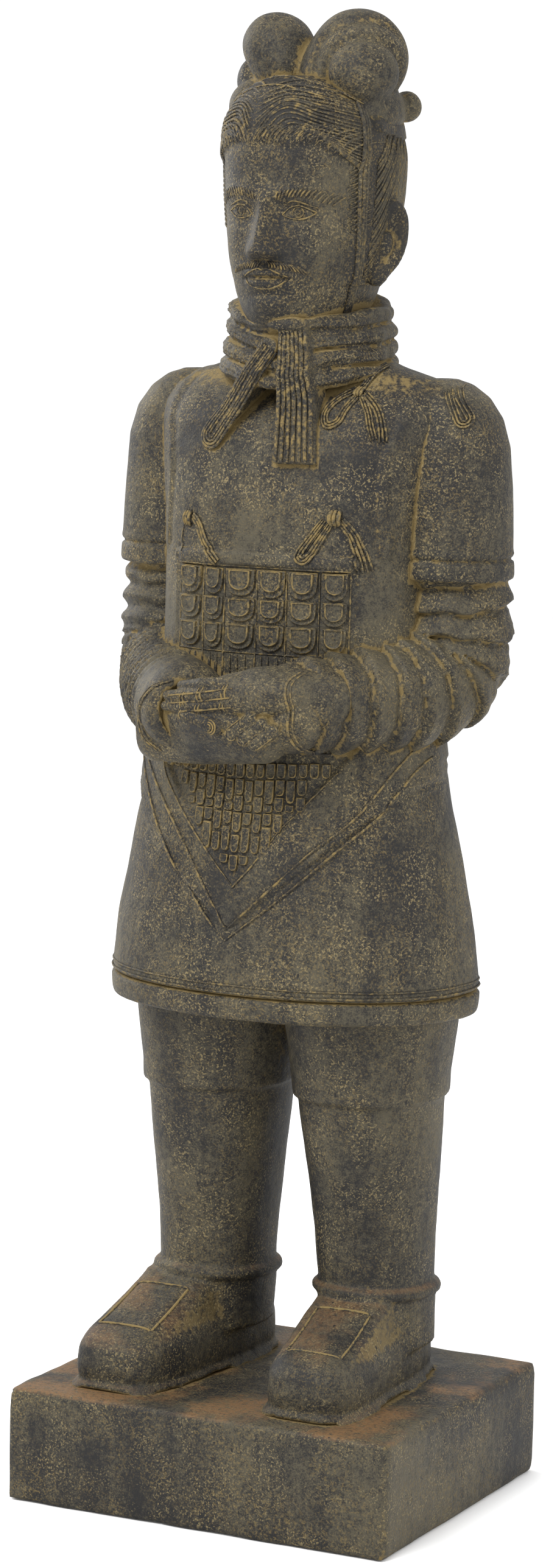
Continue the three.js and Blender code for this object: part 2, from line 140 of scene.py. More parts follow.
def bell(value: Array, middle: float, width: float) -> Array:
    """Return a bell of height 1 about middle, width wide on each side."""
    return np.exp(-(((value - middle) / width) ** 2))


def merge(first: Array, second: Array, radius: float) -> Array:
    """Join two distance fields with a fillet.

    Args:
        first: Distance to one form.
        second: Distance to the other.
        radius: Width of the fillet in mm.

    Returns:
        Distance to both together.
    """
    near = np.maximum(radius - np.abs(first - second), 0.0) / radius
    return np.minimum(first, second) - near * near * radius * 0.25


def cut(form: Array, tool: Array, radius: float) -> Array:
    """Take the tool's form out of another one, with a rounded edge."""
    return -merge(-form, tool, radius)


def ellipsoid(x: Array, y: Array, z: Array, place: Row, radii: Row, turn: Row = (0, 0, 0)) -> Array:
    """Give the distance to a rounded lump.

    Args:
        x, y, z: The points' places.
        place: The middle of the lump.
        radii: Its three radii.
        turn: Its turn about x, y and z, in radians.

    Returns:
        Signed distance in mm, good near the surface.
    """
    x, y, z = x - place[0], y - place[1], z - place[2]
    if any(turn):
        turns = [Matrix.Rotation(angle, 3, axis) for angle, axis in zip(turn, "XYZ")]
        back = (turns[2] @ turns[1] @ turns[0]).transposed()
        x, y, z = (row[0] * x + row[1] * y + row[2] * z for row in back)
    u, v, w = x / radii[0], y / radii[1], z / radii[2]
    reach = np.sqrt(u * u + v * v + w * w) + 1e-6
    slope = np.sqrt((u / radii[0]) ** 2 + (v / radii[1]) ** 2 + (w / radii[2]) ** 2) + 1e-6
    return reach * (reach - 1.0) / slope


def rod(x: Array, y: Array, z: Array, start: Row, end: Row, thick: float, thin: float | None = None) -> Array:
    """Give the distance to a rod with round ends.

    Args:
        x, y, z: The points' places.
        start: One end of its middle line.
        end: The other end.
        thick: Radius at the start.
        thin: Radius at the end, the same as thick if left out.

    Returns:
        Signed distance in mm.
    """
    thin = thick if thin is None else thin
    span = np.subtract(end, start)
    x, y, z = x - start[0], y - start[1], z - start[2]
    share = np.clip((x * span[0] + y * span[1] + z * span[2]) / (span @ span), 0.0, 1.0)
    away = np.sqrt((x - share * span[0]) ** 2 + (y - share * span[1]) ** 2 + (z - share * span[2]) ** 2)
    return away - (thick + (thin - thick) * share)


def curve_through(points: Sequence[Row], steps: int) -> Array:
    """Lay a smooth line through points.

    Args:
        points: The points, each with 2 or 3 numbers.
        steps: Steps from one point to the next.

    Returns:
        Points on the line, one row each.
    """
    given = np.asarray(points, float)
    held = np.vstack([2 * given[0] - given[1], given, 2 * given[-1] - given[-2]])
    share = np.linspace(0.0, 1.0, steps, endpoint=False)[:, None]
    parts = []
    for i in range(1, len(held) - 2):
        a, b, c, d = held[i - 1 : i + 3]
        square, cube = 2 * a - 5 * b + 4 * c - d, 3 * b - a - 3 * c + d
        parts.append(0.5 * (2 * b + (c - a) * share + square * share**2 + cube * share**3))
    return np.vstack([*parts, given[-1:]])


class Stack:
    """A body of level sections, one above the other, each a circle squared to its own degree."""

    def __init__(self, rows: Sequence[Row], soften: float = 2.0) -> None:
        """Read the sections.

        Args:
            rows: Height, x, y, half width, half depth and squareness, from low to high.
            soften: How far, in mm, a change from row to row is spread.
        """
        table = np.asarray(rows, float)
        self.low, self.high = float(table[0, 0]), float(table[-1, 0])
        heights = np.arange(self.low, self.high + 1.0, 1.0)
        columns = np.stack([np.interp(heights, table[:, 0], table[:, k]) for k in range(1, 6)])
        reach = int(3 * soften)
        weights = np.exp(-((np.arange(-reach, reach + 1) / max(soften, 0.1)) ** 2))
        padded = np.pad(columns, ((0, 0), (reach, reach)), mode="edge")
        columns = np.stack([np.convolve(row, weights / weights.sum(), mode="valid") for row in padded])
        slope = np.max(np.abs(np.gradient(columns[2:4], axis=1)), axis=0)
        self.table = np.vstack([columns, np.sqrt(1.0 + slope**2)]).astype(np.float32)

    def at(self, z: Array) -> Array:
        """Return the six section values at each height, one row a value."""
        place = np.clip(z - self.low, 0.0, self.table.shape[1] - 1.001)
        below = place.astype(np.int32)
        share = place - below
        return self.table[:, below] * (1.0 - share) + self.table[:, below + 1] * share

    def distance(self, x: Array, y: Array, z: Array, grow: Array | float = 0.0) -> Array:
        """Give the distance to the stack.

        Args:
            x, y, z: The points' places.
            grow: How much the walls stand out from the sections, in mm.

        Returns:
            Signed distance in mm.
        """
        cx, cy, a, b, n, stretch = self.at(z)
        u = np.maximum(np.abs(x - cx) / a, 1e-3)
        v = np.maximum(np.abs(y - cy) / b, 1e-3)
        un, vn = u**n, v**n
        total = un + vn
        reach = total ** (1.0 / n)
        slope = reach / total * np.sqrt((un / u / a) ** 2 + (vn / v / b) ** 2)
        wall = ((reach - 1.0) / slope - grow) / stretch
        return np.maximum(wall, np.maximum(self.low - z, z - self.high))


class Way:
    """A smooth line through space that limbs are measured from."""

    def __init__(self, points: Sequence[Row], steps: int = 5) -> None:
        """Lay the line.

        Args:
            points: Points that it runs through.
            steps: Straight steps between two of them.
        """
        self.points = curve_through(points, steps).astype(np.float32)
        self.spans = np.diff(self.points, axis=0)
        lengths = np.linalg.norm(self.spans, axis=1)
        self.marks = np.concatenate([[0.0], np.cumsum(lengths)]).astype(np.float32)

    @property
    def length(self) -> float:
        """Length of the line in mm."""
        return float(self.marks[-1])

    def nearest(self, x: Array, y: Array, z: Array) -> tuple[Array, Array]:
        """Find the nearest place on the line.

        Args:
            x, y, z: The points' places.

        Returns:
            The distance to the line, and how far along it that place is, in mm.
        """
        best = np.full(x.shape, 1e9, np.float32)
        along = np.zeros(x.shape, np.float32)
        for i, span in enumerate(self.spans):
            px, py, pz = x - self.points[i, 0], y - self.points[i, 1], z - self.points[i, 2]
            square = float(span @ span)
            share = np.clip((px * span[0] + py * span[1] + pz * span[2]) / square, 0.0, 1.0)
            away = (px - share * span[0]) ** 2 + (py - share * span[1]) ** 2 + (pz - share * span[2]) ** 2
            closer = away < best
            best = np.where(closer, away, best)
            along = np.where(closer, self.marks[i] + share * math.sqrt(square), along)
        return np.sqrt(best), along


class Drawing:
    """Low relief drawn on the front of the figure, as heights in mm over x and z."""

    def __init__(self, left: float, right: float, bottom: float, top: float, pixel: float = 0.7) -> None:
        """Lay out an empty sheet.

        Args:
            left: Lowest x.
            right: Highest x.
            bottom: Lowest z.
            top: Highest z.
            pixel: Spacing of the sheet in mm.
        """
        self.left, self.bottom, self.pixel = left, bottom, pixel
        self.x = np.arange(left, right + pixel, pixel)
        self.z = np.arange(bottom, top + pixel, pixel)
        self.height = np.zeros((len(self.x), len(self.z)), np.float32)

    def away(self, points: Sequence[Row]) -> Array:
        """Give the distance from every place of the sheet to a smooth line through points."""
        line = curve_through(points, 6)
        gx, gz = np.meshgrid(self.x, self.z, indexing="ij")
        best = np.full(gx.shape, 1e9)
        for start, span in zip(line, np.diff(line, axis=0)):
            px, pz = gx - start[0], gz - start[1]
            share = np.clip((px * span[0] + pz * span[1]) / float(np.hypot(*span)) ** 2, 0.0, 1.0)
            best = np.minimum(best, np.hypot(px - share * span[0], pz - share * span[1]))
        return best

    def raise_line(self, points: Sequence[Row], width: float, height: float, edge: float = 1.6) -> None:
        """Raise a band of even width along a line, over what is drawn so far.

        Args:
            points: Points of x and z that the line runs through.
            width: Width of the band.
            height: How far it stands out.
            edge: How soft its sides are.
        """
        away = self.away(points)
        inside = step_up(away, width / 2 + edge / 2, width / 2 - edge / 2)
        self.height = self.height * (1.0 - inside) + np.maximum(self.height, height) * inside
        self.height -= (0.25 * height) * bell(away, width / 2 + edge, 1.6)

    def groove(self, points: Sequence[Row], width: float, depth: float) -> None:
        """Cut a round groove along a line.

        Args:
            points: Points of x and z that the line runs through.
            width: Half width of the groove.
            depth: Its depth.
        """
        away = self.away(points)
        self.height -= depth * bell(away, 0.0, width)

    def at(self, x: Array, z: Array) -> Array:
        """Read the relief at points, zero off the sheet.

        Args:
            x, z: The points' places.

        Returns:
            Heights in mm.
        """
        u = (x - self.left) / self.pixel
        v = (z - self.bottom) / self.pixel
        inside = (u > 0) & (v > 0) & (u < len(self.x) - 2) & (v < len(self.z) - 2)
        u = np.clip(u, 0, len(self.x) - 2)
        v = np.clip(v, 0, len(self.z) - 2)
        i, j = u.astype(np.int32), v.astype(np.int32)
        p, q = u - i, v - j
        low = self.height[i, j] * (1 - p) + self.height[i + 1, j] * p
        high = self.height[i, j + 1] * (1 - p) + self.height[i + 1, j + 1] * p
        return (low * (1 - q) + high * q) * inside


class Unevenness:
    """The slow waviness of a cast and rubbed surface, from seeded waves."""

    def __init__(self, seed: int, size: float, count: int = 7) -> None:
        """Choose the waves.

        Args:
            seed: Seed of the random choice.
            size: Mean length of a wave in mm.
            count: How many waves are added up.
        """
        chance = np.random.default_rng(seed)
        turned = chance.normal(size=(count, 3))
        turned /= np.linalg.norm(turned, axis=1)[:, None]
        self.waves = (turned * (2 * math.pi / size) * chance.uniform(0.6, 1.5, (count, 1))).astype(np.float32)
        self.phases = chance.uniform(0, 2 * math.pi, count).astype(np.float32)

    def at(self, x: Array, y: Array, z: Array) -> Array:
        """Return the waviness at points, mostly between -1 and 1."""
        total = np.zeros_like(x)
        for (a, b, c), phase in zip(self.waves, self.phases):
            total = total + np.sin(a * x + b * y + c * z + phase)
        return total / math.sqrt(len(self.phases))


ROUGH = Unevenness(SEED, 85.0)
FINE = Unevenness(SEED + 1, 23.0)


def weathered(distance: Array, x: Array, y: Array, z: Array, amount: float = 0.35) -> Array:
    """Make a clean form slightly uneven, as a casting is."""
    return distance + amount * ROUGH.at(x, y, z) + 0.3 * amount * FINE.at(x, y, z)


# From a distance field to a mesh


@dataclass
class Form:
    """One part of the figure as a signed distance field within a box."""

    name: str
    low: tuple[float, float, float]
    high: tuple[float, float, float]
    voxel: float
    field: Field

    def near(self, x: Array, y: Array, z: Array, reach: float) -> Array:
        """Give the distance, exact only within reach of the box.

        Args:
            x, y, z: The points' places.
            reach: How far from the box the distance still matters.

        Returns:
            Signed distance in mm.
        """
        sides = zip((x, y, z), self.low, self.high)
        away = np.maximum.reduce([gap for at, low, high in sides for gap in (low - at, at - high)])
        result = np.maximum(away, reach).astype(np.float32)
        close = away < reach
        if close.any():
            result[close] = self.field(x[close], y[close], z[close])
        return result

    def skin(self) -> tuple[Array, Array]:
        """Skin the form, first in coarse blocks and then only near its surface.

        Returns:
            Points in mm, and four corners a face.
        """
        coarse, fine, voxel = 16, 4, self.voxel
        half, kept, batch = 0.87 * voxel, 3.0, 12000
        low = np.asarray(self.low, np.float32)
        blocks = np.ceil((np.asarray(self.high) - low) / (coarse * voxel)).astype(int)
        grid = np.empty(blocks * coarse, np.float32)

        def cells(*counts: int) -> Array:
            """Return the indices of a box of cells, one row each."""
            return np.argwhere(np.ones(counts, bool))

        def split(width: int) -> Array:
            """Return the grid as blocks of some width, which are its first three axes."""
            shape = [part for size in grid.shape for part in (size // width, width)]
            return grid.reshape(shape).transpose(0, 2, 4, 1, 3, 5)

        def fill(index: Array, width: int, slack: float) -> Array:
            """Fill whole blocks by their middles, and return those that the surface may cross."""
            place = (low + (index * width + (width - 1) / 2) * voxel).astype(np.float32)
            depth = self.field(place[:, 0], place[:, 1], place[:, 2])
            split(width)[tuple(index.T)] = (kept * np.sign(depth))[:, None, None, None]
            return index[np.abs(depth) < width * half * 1.15 + slack]

        big = fill(cells(*blocks), coarse, 6.0)
        steps = cells(*[coarse // fine] * 3)
        small = fill((big[:, None, :] * (coarse // fine) + steps[None]).reshape(-1, 3), fine, 1.2)
        steps, view = cells(fine, fine, fine), split(fine)
        for start in range(0, len(small), batch):
            some = small[start : start + batch]
            place = low + ((some[:, None, :] * fine + steps[None]) * voxel).reshape(-1, 3).astype(np.float32)
            depth = self.field(place[:, 0], place[:, 1], place[:, 2]) / voxel
            view[tuple(some.T)] = np.clip(depth, -kept, kept).reshape(-1, fine, fine, fine)
        volume = openvdb.FloatGrid(kept)
        volume.copyFromArray(grid)
        points, corners = volume.convertToQuads(isovalue=0.0)
        return low + points * voxel, corners


def settle(points: Array, field: Field, lift: float, rounds: int = 5) -> tuple[Array, Array]:
    """Bring points onto a form's surface along its steepest way.

    Args:
        points: Points in mm, one row each.
        field: The form's distance field.
        lift: How far above the surface they end.
        rounds: Steps of the search.

    Returns:
        The settled points and the outward directions there.
    """
    place = points.astype(np.float32)
    slope = np.zeros_like(place)
    for _ in range(rounds):
        here = field(*place.T)
        for axis in range(3):
            moved = place.copy()
            moved[:, axis] += 0.8
            slope[:, axis] = (field(*moved.T) - here) / 0.8
        size = np.maximum(np.linalg.norm(slope, axis=1), 0.3)[:, None]
        place = place - np.clip(here - lift, -8.0, 8.0)[:, None] * slope / size**2
    return place, slope / np.maximum(np.linalg.norm(slope, axis=1), 1e-6)[:, None]


def placed(points: Array) -> Array:
    """Turn millimetres up from the soles into metres up from the ground."""
    return (points + np.array([0.0, 0.0, PLINTH_HEIGHT])) * MM


def start_mesh(name: str, points: Array) -> bpy.types.Mesh:
    """Start a mesh with points given in mm, up from the soles."""
    mesh = bpy.data.meshes.new(name)
    mesh.vertices.add(len(points))
    mesh.vertices.foreach_set("co", placed(points).astype(np.float32).ravel())
    return mesh


def store(mesh: bpy.types.Mesh, key: str, values: Array, kind: str = "FLOAT") -> None:
    """Store a number for each point of a mesh, or three of them as a FLOAT_VECTOR."""
    held = mesh.attributes.new(key, kind, "POINT").data
    held.foreach_set("value" if kind == "FLOAT" else "vector", values.astype(np.float32).ravel())


def linked(name: str, data: bpy.types.ID) -> Piece:
    """Make an object of a mesh, lamp or camera and link it to the scene."""
    made = bpy.data.objects.new(name, data)
    bpy.context.scene.collection.objects.link(made)
    return made


def mesh_object(name: str, points: Array, faces: Array) -> Piece:
    """Make a smooth-shaded mesh object.

    Args:
        name: Name of the piece.
        points: Points in mm, up from the soles.
        faces: Corners of each face, all faces with the same count.

    Returns:
        The object, linked to the scene.
    """
    mesh = start_mesh(name, points)
    count, sides = faces.shape
    mesh.loops.add(count * sides)
    mesh.loops.foreach_set("vertex_index", faces.astype(np.int32).ravel())
    mesh.polygons.add(count)
    mesh.polygons.foreach_set("loop_start", np.arange(0, count * sides, sides, dtype=np.int32))
    mesh.update(calc_edges=True)
    mesh.validate()
    mesh.shade_smooth()
    return linked(name, mesh)


# Raised lines and plates laid on the forms


class View(Enum):
    """A side that a drawing is laid on from: across, up, and the way in."""

    FRONT = ((1, 0, 0), (0, 0, 1), (0, 1, 0))
    BACK = ((1, 0, 0), (0, 0, 1), (0, -1, 0))
    LEFT = ((0, 1, 0), (0, 0, 1), (-1, 0, 0))
    RIGHT = ((0, 1, 0), (0, 0, 1), (1, 0, 0))
    TOP = ((1, 0, 0), (0, 1, 0), (0, 0, -1))

    def project(self, plan: Array, field: Field, far: float, lift: float = 0.0) -> tuple[Array, Array]:
        """Move a flat drawing's points inwards until they meet a form.

        Args:
            plan: Points across and up, one row each.
            field: The form's distance field.
            far: How far in front of the origin the points start.
            lift: How far above the form they stop.

        Returns:
            Points in space, and whether each one met the form.
        """
        across, up, way = np.asarray(self.value, np.float32)
        place = plan[:, :1] * across + plan[:, 1:2] * up - far * way
        place = place.astype(np.float32)
        for _ in range(44):
            gap = field(*place.T) - lift
            place = place + np.clip(gap, -15.0, 40.0)[:, None] * 0.8 * way
        return place, np.abs(field(*place.T) - lift) < 0.7


def even_steps(points: Array, step: float) -> Array:
    """Space a line's points evenly.

    Args:
        points: Points, one row each.
        step: Distance between two of them in mm.

    Returns:
        The new points.
    """
    lengths = np.linalg.norm(np.diff(points, axis=0), axis=1)
    marks = np.concatenate([[0.0], np.cumsum(lengths)])
    count = max(int(round(marks[-1] / step)), 3)
    wanted = np.linspace(0.0, marks[-1], count + 1)
    return np.stack([np.interp(wanted, marks, column) for column in points.T], axis=1)


def beside(line: Array, offset: Array | float) -> Array:
    """Return a flat line moved sideways, to its left for a positive offset."""
    way = np.gradient(line, axis=0)
    way /= np.maximum(np.linalg.norm(way, axis=1), 1e-6)[:, None]
    return line + np.stack([-way[:, 1], way[:, 0]], axis=1) * np.reshape(offset, (-1, 1))


def loop_round(start: Row, end: Row, radius: float, spread: float = 0.0) -> Array:
    """Return a U-shaped line round the far end of a core.

    Args:
        start: Open end of the core.
        end: Its closed end.
        radius: Distance of the line from the core.
        spread: How much nearer the line runs at the open end.

    Returns:
        Points across and up.
    """
    core = np.subtract(end, start)
    length = float(np.hypot(*core))
    ahead = core / length
    aside = np.array([-ahead[1], ahead[0]])
    straight = np.linspace(0.0, 1.0, 8)[:, None]
    width = radius - spread * (1.0 - straight)
    angles = np.linspace(0.0, math.pi, 9)[1:-1, None]
    first = np.asarray(start) + straight * core + aside * width
    bend = np.asarray(end) + radius * (np.cos(angles) * aside + np.sin(angles) * ahead)
    second = (np.asarray(start) + straight * core - aside * width)[::-1]
    return np.vstack([first, bend, second])


def in_use(sockets: Sequence, name: str) -> Socket:
    """Return the socket of this name that the node's present data type uses."""
    return next(socket for socket in sockets if socket.name == name and socket.enabled)


class NodeTrees:
    """The Geometry Nodes trees for what is laid on the skin."""

    def __init__(self) -> None:
        """Build both trees."""
        self.strands = self.build_strands()
        self.plates = self.build_plates()

    @staticmethod
    def start(name: str, inputs: dict[str, str]) -> tuple[Wiring, bpy.types.Node, bpy.types.Node]:
        """Start a tree that takes and gives geometry.

        Args:
            name: Its name.
            inputs: Kinds of its further inputs, by name.

        Returns:
            The tree's wiring, its input node and its output node.
        """
        tree = bpy.data.node_groups.new(name, "GeometryNodeTree")
        add_sockets(tree, "INPUT", {"Geometry": "Geometry", **inputs})
        add_sockets(tree, "OUTPUT", {"Geometry": "Geometry"})
        wire = Wiring(tree)
        return wire, wire.add("NodeGroupInput"), wire.add("NodeGroupOutput")

    @staticmethod
    def finish(wire: Wiring, given: bpy.types.Node, taken: bpy.types.Node, made: Socket) -> Tree:
        """End a tree in Realize Instances and Set Material, and return it."""
        whole = wire.add("GeometryNodeRealizeInstances", {"Geometry": made}).outputs["Geometry"]
        inputs = {"Geometry": whole, "Material": given.outputs["Material"]}
        coated = wire.add("GeometryNodeSetMaterial", inputs)
        wire.put(taken.inputs["Geometry"], coated.outputs["Geometry"])
        return wire.tree

    def build_strands(self) -> Tree:
        """Build the tree that makes lines of edges into round strands of stored thickness."""
        inputs = {"Sides": "Int", "Thickness": "Float", "Material": "Material"}
        wire, given, taken = self.start("laid_strands", inputs)
        lines = wire.add("GeometryNodeMeshToCurve", {"Mesh": given.outputs["Geometry"]})
        stored = wire.add("GeometryNodeInputNamedAttribute", {"Name": "thick"}, data_type="FLOAT")
        sizes = {"Resolution": given.outputs["Sides"], "Radius": 1.0}
        ring = wire.add("GeometryNodeCurvePrimitiveCircle", sizes, mode="RADIUS")
        sweep = {
            "Curve": lines.outputs["Curve"],
            "Profile Curve": ring.outputs["Curve"],
            "Scale": wire.times(stored.outputs["Attribute"], given.outputs["Thickness"]),
            "Fill Caps": True,
        }
        tube = wire.add("GeometryNodeCurveToMesh", sweep)
        return self.finish(wire, given, taken, tube.outputs["Mesh"])

    def build_plates(self) -> Tree:
        """Build the tree that sets a plate on each point, turned and sized as stored there."""
        inputs = {"Plate": "Object", "Unevenness": "Float", "Seed": "Int", "Material": "Material"}
        wire, given, taken = self.start("laid_plates", inputs)
        source = {"Object": given.outputs["Plate"]}
        plate = wire.add("GeometryNodeObjectInfo", source, transform_space="ORIGINAL")
        turn, size = (
            wire.add("GeometryNodeInputNamedAttribute", {"Name": key}, data_type="FLOAT_VECTOR")
            for key in ("turn", "size")
        )
        turned = wire.add("FunctionNodeEulerToRotation", {"Euler": turn.outputs["Attribute"]})
        chance = wire.add("FunctionNodeRandomValue", data_type="FLOAT")
        uneven = given.outputs["Unevenness"]
        wire.put(in_use(chance.inputs, "Min"), wire.math("SUBTRACT", 1.0, uneven))
        wire.put(in_use(chance.inputs, "Max"), wire.plus(1.0, uneven))
        wire.put(in_use(chance.inputs, "Seed"), given.outputs["Seed"])
        share = {0: size.outputs["Attribute"], "Scale": in_use(chance.outputs, "Value")}
        scaled = wire.add("ShaderNodeVectorMath", share, operation="SCALE")
        setting = {
            "Points": given.outputs["Geometry"],
            "Instance": plate.outputs["Geometry"],
            "Rotation": turned.outputs["Rotation"],
            "Scale": scaled.outputs["Vector"],
        }
        many = wire.add("GeometryNodeInstanceOnPoints", setting)
        return self.finish(wire, given, taken, many.outputs["Instances"])

    @staticmethod
    def grow(piece: Piece, tree: Tree, values: dict[str, object]) -> None:
        """Run a tree on an object and keep the result as the object's plain mesh.

        Args:
            piece: The object with the points or lines.
            tree: The tree.
            values: Its inputs by name.
        """
        modifier = piece.modifiers.new("nodes", "NODES")
        modifier.node_group = tree
        for item in tree.interface.items_tree:
            if item.in_out == "INPUT" and item.name in values:
                modifier[item.identifier] = values[item.name]
        graph = bpy.context.evaluated_depsgraph_get()
        mesh = bpy.data.meshes.new_from_object(piece.evaluated_get(graph), depsgraph=graph)
        piece.modifiers.clear()
        drawn = piece.data
        piece.data = mesh
        bpy.data.meshes.remove(drawn)
        mesh.name = piece.name
        mesh.shade_smooth()


class Strands:
    """Raised lines of one piece."""

    def __init__(self, name: str, sides: int = 6) -> None:
        """Start with no lines.

        Args:
            name: Name of the piece.
            sides: Sides of each round strand.
        """
        self.name, self.sides = name, sides
        self.lines: list[tuple[Array, Array, Array]] = []

    def lay(
        self,
        plan: Sequence[Row],
        radius: float,
        field: Field,
        view: View = View.FRONT,
        far: float = FAR,
        taper: float = 0.45,
        arch: float = 0.0,
        lift: float = 0.0,
        rub: float = 0.6,
        step: float = 3.0,
    ) -> None:
        """Lay one flat line on a form.

        Args:
            plan: Points across and up that it runs through.
            radius: Its radius in the middle.
            field: The form's distance field.
            view: The side that it is laid on from.
            far: How far in front of the origin it starts.
            taper: Radius at its ends as a share of the middle's.
            arch: How far its middle stands off the form.
            lift: How far all of it does.
            rub: How much of it is rubbed bare.
            step: Distance between its points.
        """
        smooth = even_steps(curve_through(plan, 6), step)
        place, met = view.project(smooth, field, far, lift)
        edges = np.flatnonzero(np.diff(np.concatenate([[0], met.astype(int), [0]])))
        if len(edges) == 0:
            return
        runs = list(zip(edges[::2], edges[1::2]))
        first, last = max(runs, key=lambda run: run[1] - run[0])
        if last - first < 4:
            return
        place = place[first:last]
        share = np.linspace(0.0, math.pi, len(place))
        swell = taper + (1.0 - taper) * np.sqrt(np.sin(share))
        place = place - np.outer(arch * np.sin(share), np.asarray(view.value[2]))
        self.lines.append((place, radius * swell, np.full(len(place), rub)))

    def ribbon(self, plan: Sequence[Row], width: Row, count: int, field: Field, **rest: object) -> None:
        """Lay strands side by side along a line.

        Args:
            plan: Points across and up along the ribbon's middle.
            width: Its width at the start and at the end.
            count: How many strands it has.
            field: The form's distance field.
            **rest: Further settings of lay.
        """
        middle = curve_through(plan, 4)
        widths = np.linspace(width[0], width[1], len(middle))
        for i in range(count):
            share = (i + 0.5) / count - 0.5
            self.lay(beside(middle, widths * share), sum(width) / 2 / count * 0.5, field, taper=0.85, **rest)

    def object(self) -> Piece:
        """Return the lines as a mesh of edges that stores their thickness."""
        points = np.vstack([line[0] for line in self.lines])
        counts = np.cumsum([0] + [len(line[0]) for line in self.lines])
        pairs = [np.stack([np.arange(a, b - 1), np.arange(a + 1, b)], 1) for a, b in zip(counts, counts[1:])]
        edges = np.concatenate(pairs)
        mesh = start_mesh(self.name, points)
        mesh.edges.add(len(edges))
        mesh.edges.foreach_set("vertices", edges.astype(np.int32).ravel())
        for key, column, scale in (("thick", 1, MM), ("rub", 2, 1.0)):
            store(mesh, key, np.concatenate([line[column] for line in self.lines]) * scale)
        return linked(self.name, mesh)

    def build(self, trees: NodeTrees, material: bpy.types.Material) -> Piece:
        """Make the strands round.

        Args:
            trees: The Geometry Nodes trees.
            material: Their material.

        Returns:
            The piece.
        """
        piece = self.object()
        trees.grow(piece, trees.strands, {"Sides": self.sides, "Thickness": 1.0, "Material": material})
        return piece


@dataclass
class PlateShape:
    """A plate of unit width and height with a rounded foot, raised in rings from its edge inwards."""

    name: str
    rings: Sequence[Row]
    squareness: float
    corners: int = 9

    def ring(self, half: float, top: float, foot: float, height: float) -> Array:
        """Return one ring of points, its sides straight and its foot round.

        Args:
            half: Half width.
            top: Height of its upper edge.
            foot: Height of its lowest point.
            height: How far it stands out, in mm.

        Returns:
            Points in the plate's own frame, which faces -Y.
        """
        bend = foot + min(2 * half, top - foot) * 0.5
        angles = np.linspace(0.0, math.pi, self.corners)
        power = 2.0 / self.squareness
        x = half * np.sign(np.cos(angles)) * np.abs(np.cos(angles)) ** power
        z = bend - (bend - foot) * np.abs(np.sin(angles)) ** power
        x = np.concatenate([[-half, -half / 3, half / 3, half], x])
        z = np.concatenate([[top] * 4, z])
        return np.stack([x, np.full(len(x), -height * MM), z], axis=1)

    def object(self) -> Piece:
        """Return the plate as an object for Geometry Nodes to copy."""
        rings = [self.ring(*row[:4]) for row in self.rings]
        count = len(rings[0])
        points = np.vstack(rings)
        faces = []
        for k in range(len(rings) - 1):
            for i in range(count):
                j = (i + 1) % count
                faces.append((k * count + i, (k + 1) * count + i, (k + 1) * count + j, k * count + j))
        faces.append(tuple(range(count)))
        faces.append(tuple(range(len(points) - 1, len(points) - count - 1, -1)))
        mesh = bpy.data.meshes.new(self.name)
        mesh.from_pydata([tuple(map(float, point)) for point in points], [], faces)
        store(mesh, "rub", np.repeat([row[4] for row in self.rings], count))
        return linked(self.name, mesh)


class Plates:
    """Plates of one kind, each set on a form at a place of a flat drawing."""

    def __init__(self, name: str, shape: PlateShape, unevenness: float) -> None:
        """Start with no plates.

        Args:
            name: Name of the piece.
            shape: The plate.
            unevenness: How much their sizes differ by chance.
        """
        self.name, self.shape, self.unevenness = name, shape, unevenness
        self.places: list[Row] = []

    def add(self, x: float, z: float, width: float, height: float) -> None:
        """Add a plate.

        Args:
            x: x of its middle.
            z: Height of its middle.
            width: Its width in mm.
            height: Its height in mm.
        """
        self.places.append((x, z, width, height))

    def build(self, field: Field, trees: NodeTrees, material: bpy.types.Material) -> Piece:
        """Set the plates on the front of a form.

        Args:
            field: The form's distance field.
            trees: The Geometry Nodes trees.
            material: Their material.

        Returns:
            The piece.
        """
        table = np.asarray(self.places, float)
        place, _ = View.FRONT.project(table[:, :2], field, FAR)
        _, out = settle(place, field, 0.0, 1)
        turns = []
        for way in out:
            inwards = -Vector(way)
            across = inwards.cross(Vector((0, 0, 1))).normalized()
            frame = Matrix((across, inwards, across.cross(inwards))).transposed()
            turns.append(frame.to_euler("XYZ"))
        size = np.stack([table[:, 2] * MM, np.ones(len(table)), table[:, 3] * MM], axis=1)
        mesh = start_mesh(self.name, place)
        store(mesh, "turn", np.asarray(turns), "FLOAT_VECTOR")
        store(mesh, "size", size, "FLOAT_VECTOR")
        piece = linked(self.name, mesh)
        plate = self.shape.object()
        values = {"Plate": plate, "Unevenness": self.unevenness, "Seed": SEED, "Material": material}
        trees.grow(piece, trees.plates, values)
        bpy.data.objects.remove(plate)
        return piece


# The parts of the figure


@dataclass
class Plinth:
    """The block under the shoes."""

    width: float = PLINTH_WIDTH
    depth: float = PLINTH_DEPTH
    height: float = PLINTH_HEIGHT
    edge: float = 5.0

    def field(self, x: Array, y: Array, z: Array) -> Array:
        """Give the distance to the block, its edges a little worn."""
        worn = self.edge + 2.0 * FINE.at(x * 0.6, y * 0.6, z * 0.6)
        qx = np.abs(x) - self.width / 2 + worn
        qy = np.abs(y) - self.depth / 2 + worn
        qz = np.abs(z + self.height / 2) - self.height / 2 + worn
        outside = np.sqrt(np.maximum(qx, 0) ** 2 + np.maximum(qy, 0) ** 2 + np.maximum(qz, 0) ** 2)
        plain = outside + np.minimum(np.maximum(np.maximum(qx, qy), qz), 0) - worn
        return plain + 0.7 + 0.3 * ROUGH.at(x, y, z)

    def form(self) -> Form:
        """Return the block's form."""
        half = (self.width / 2 + 4, self.depth / 2 + 4)
        return Form("plinth", (-half[0], -half[1], -self.height - 4), (half[0], half[1], 4), 7.0, self.field)


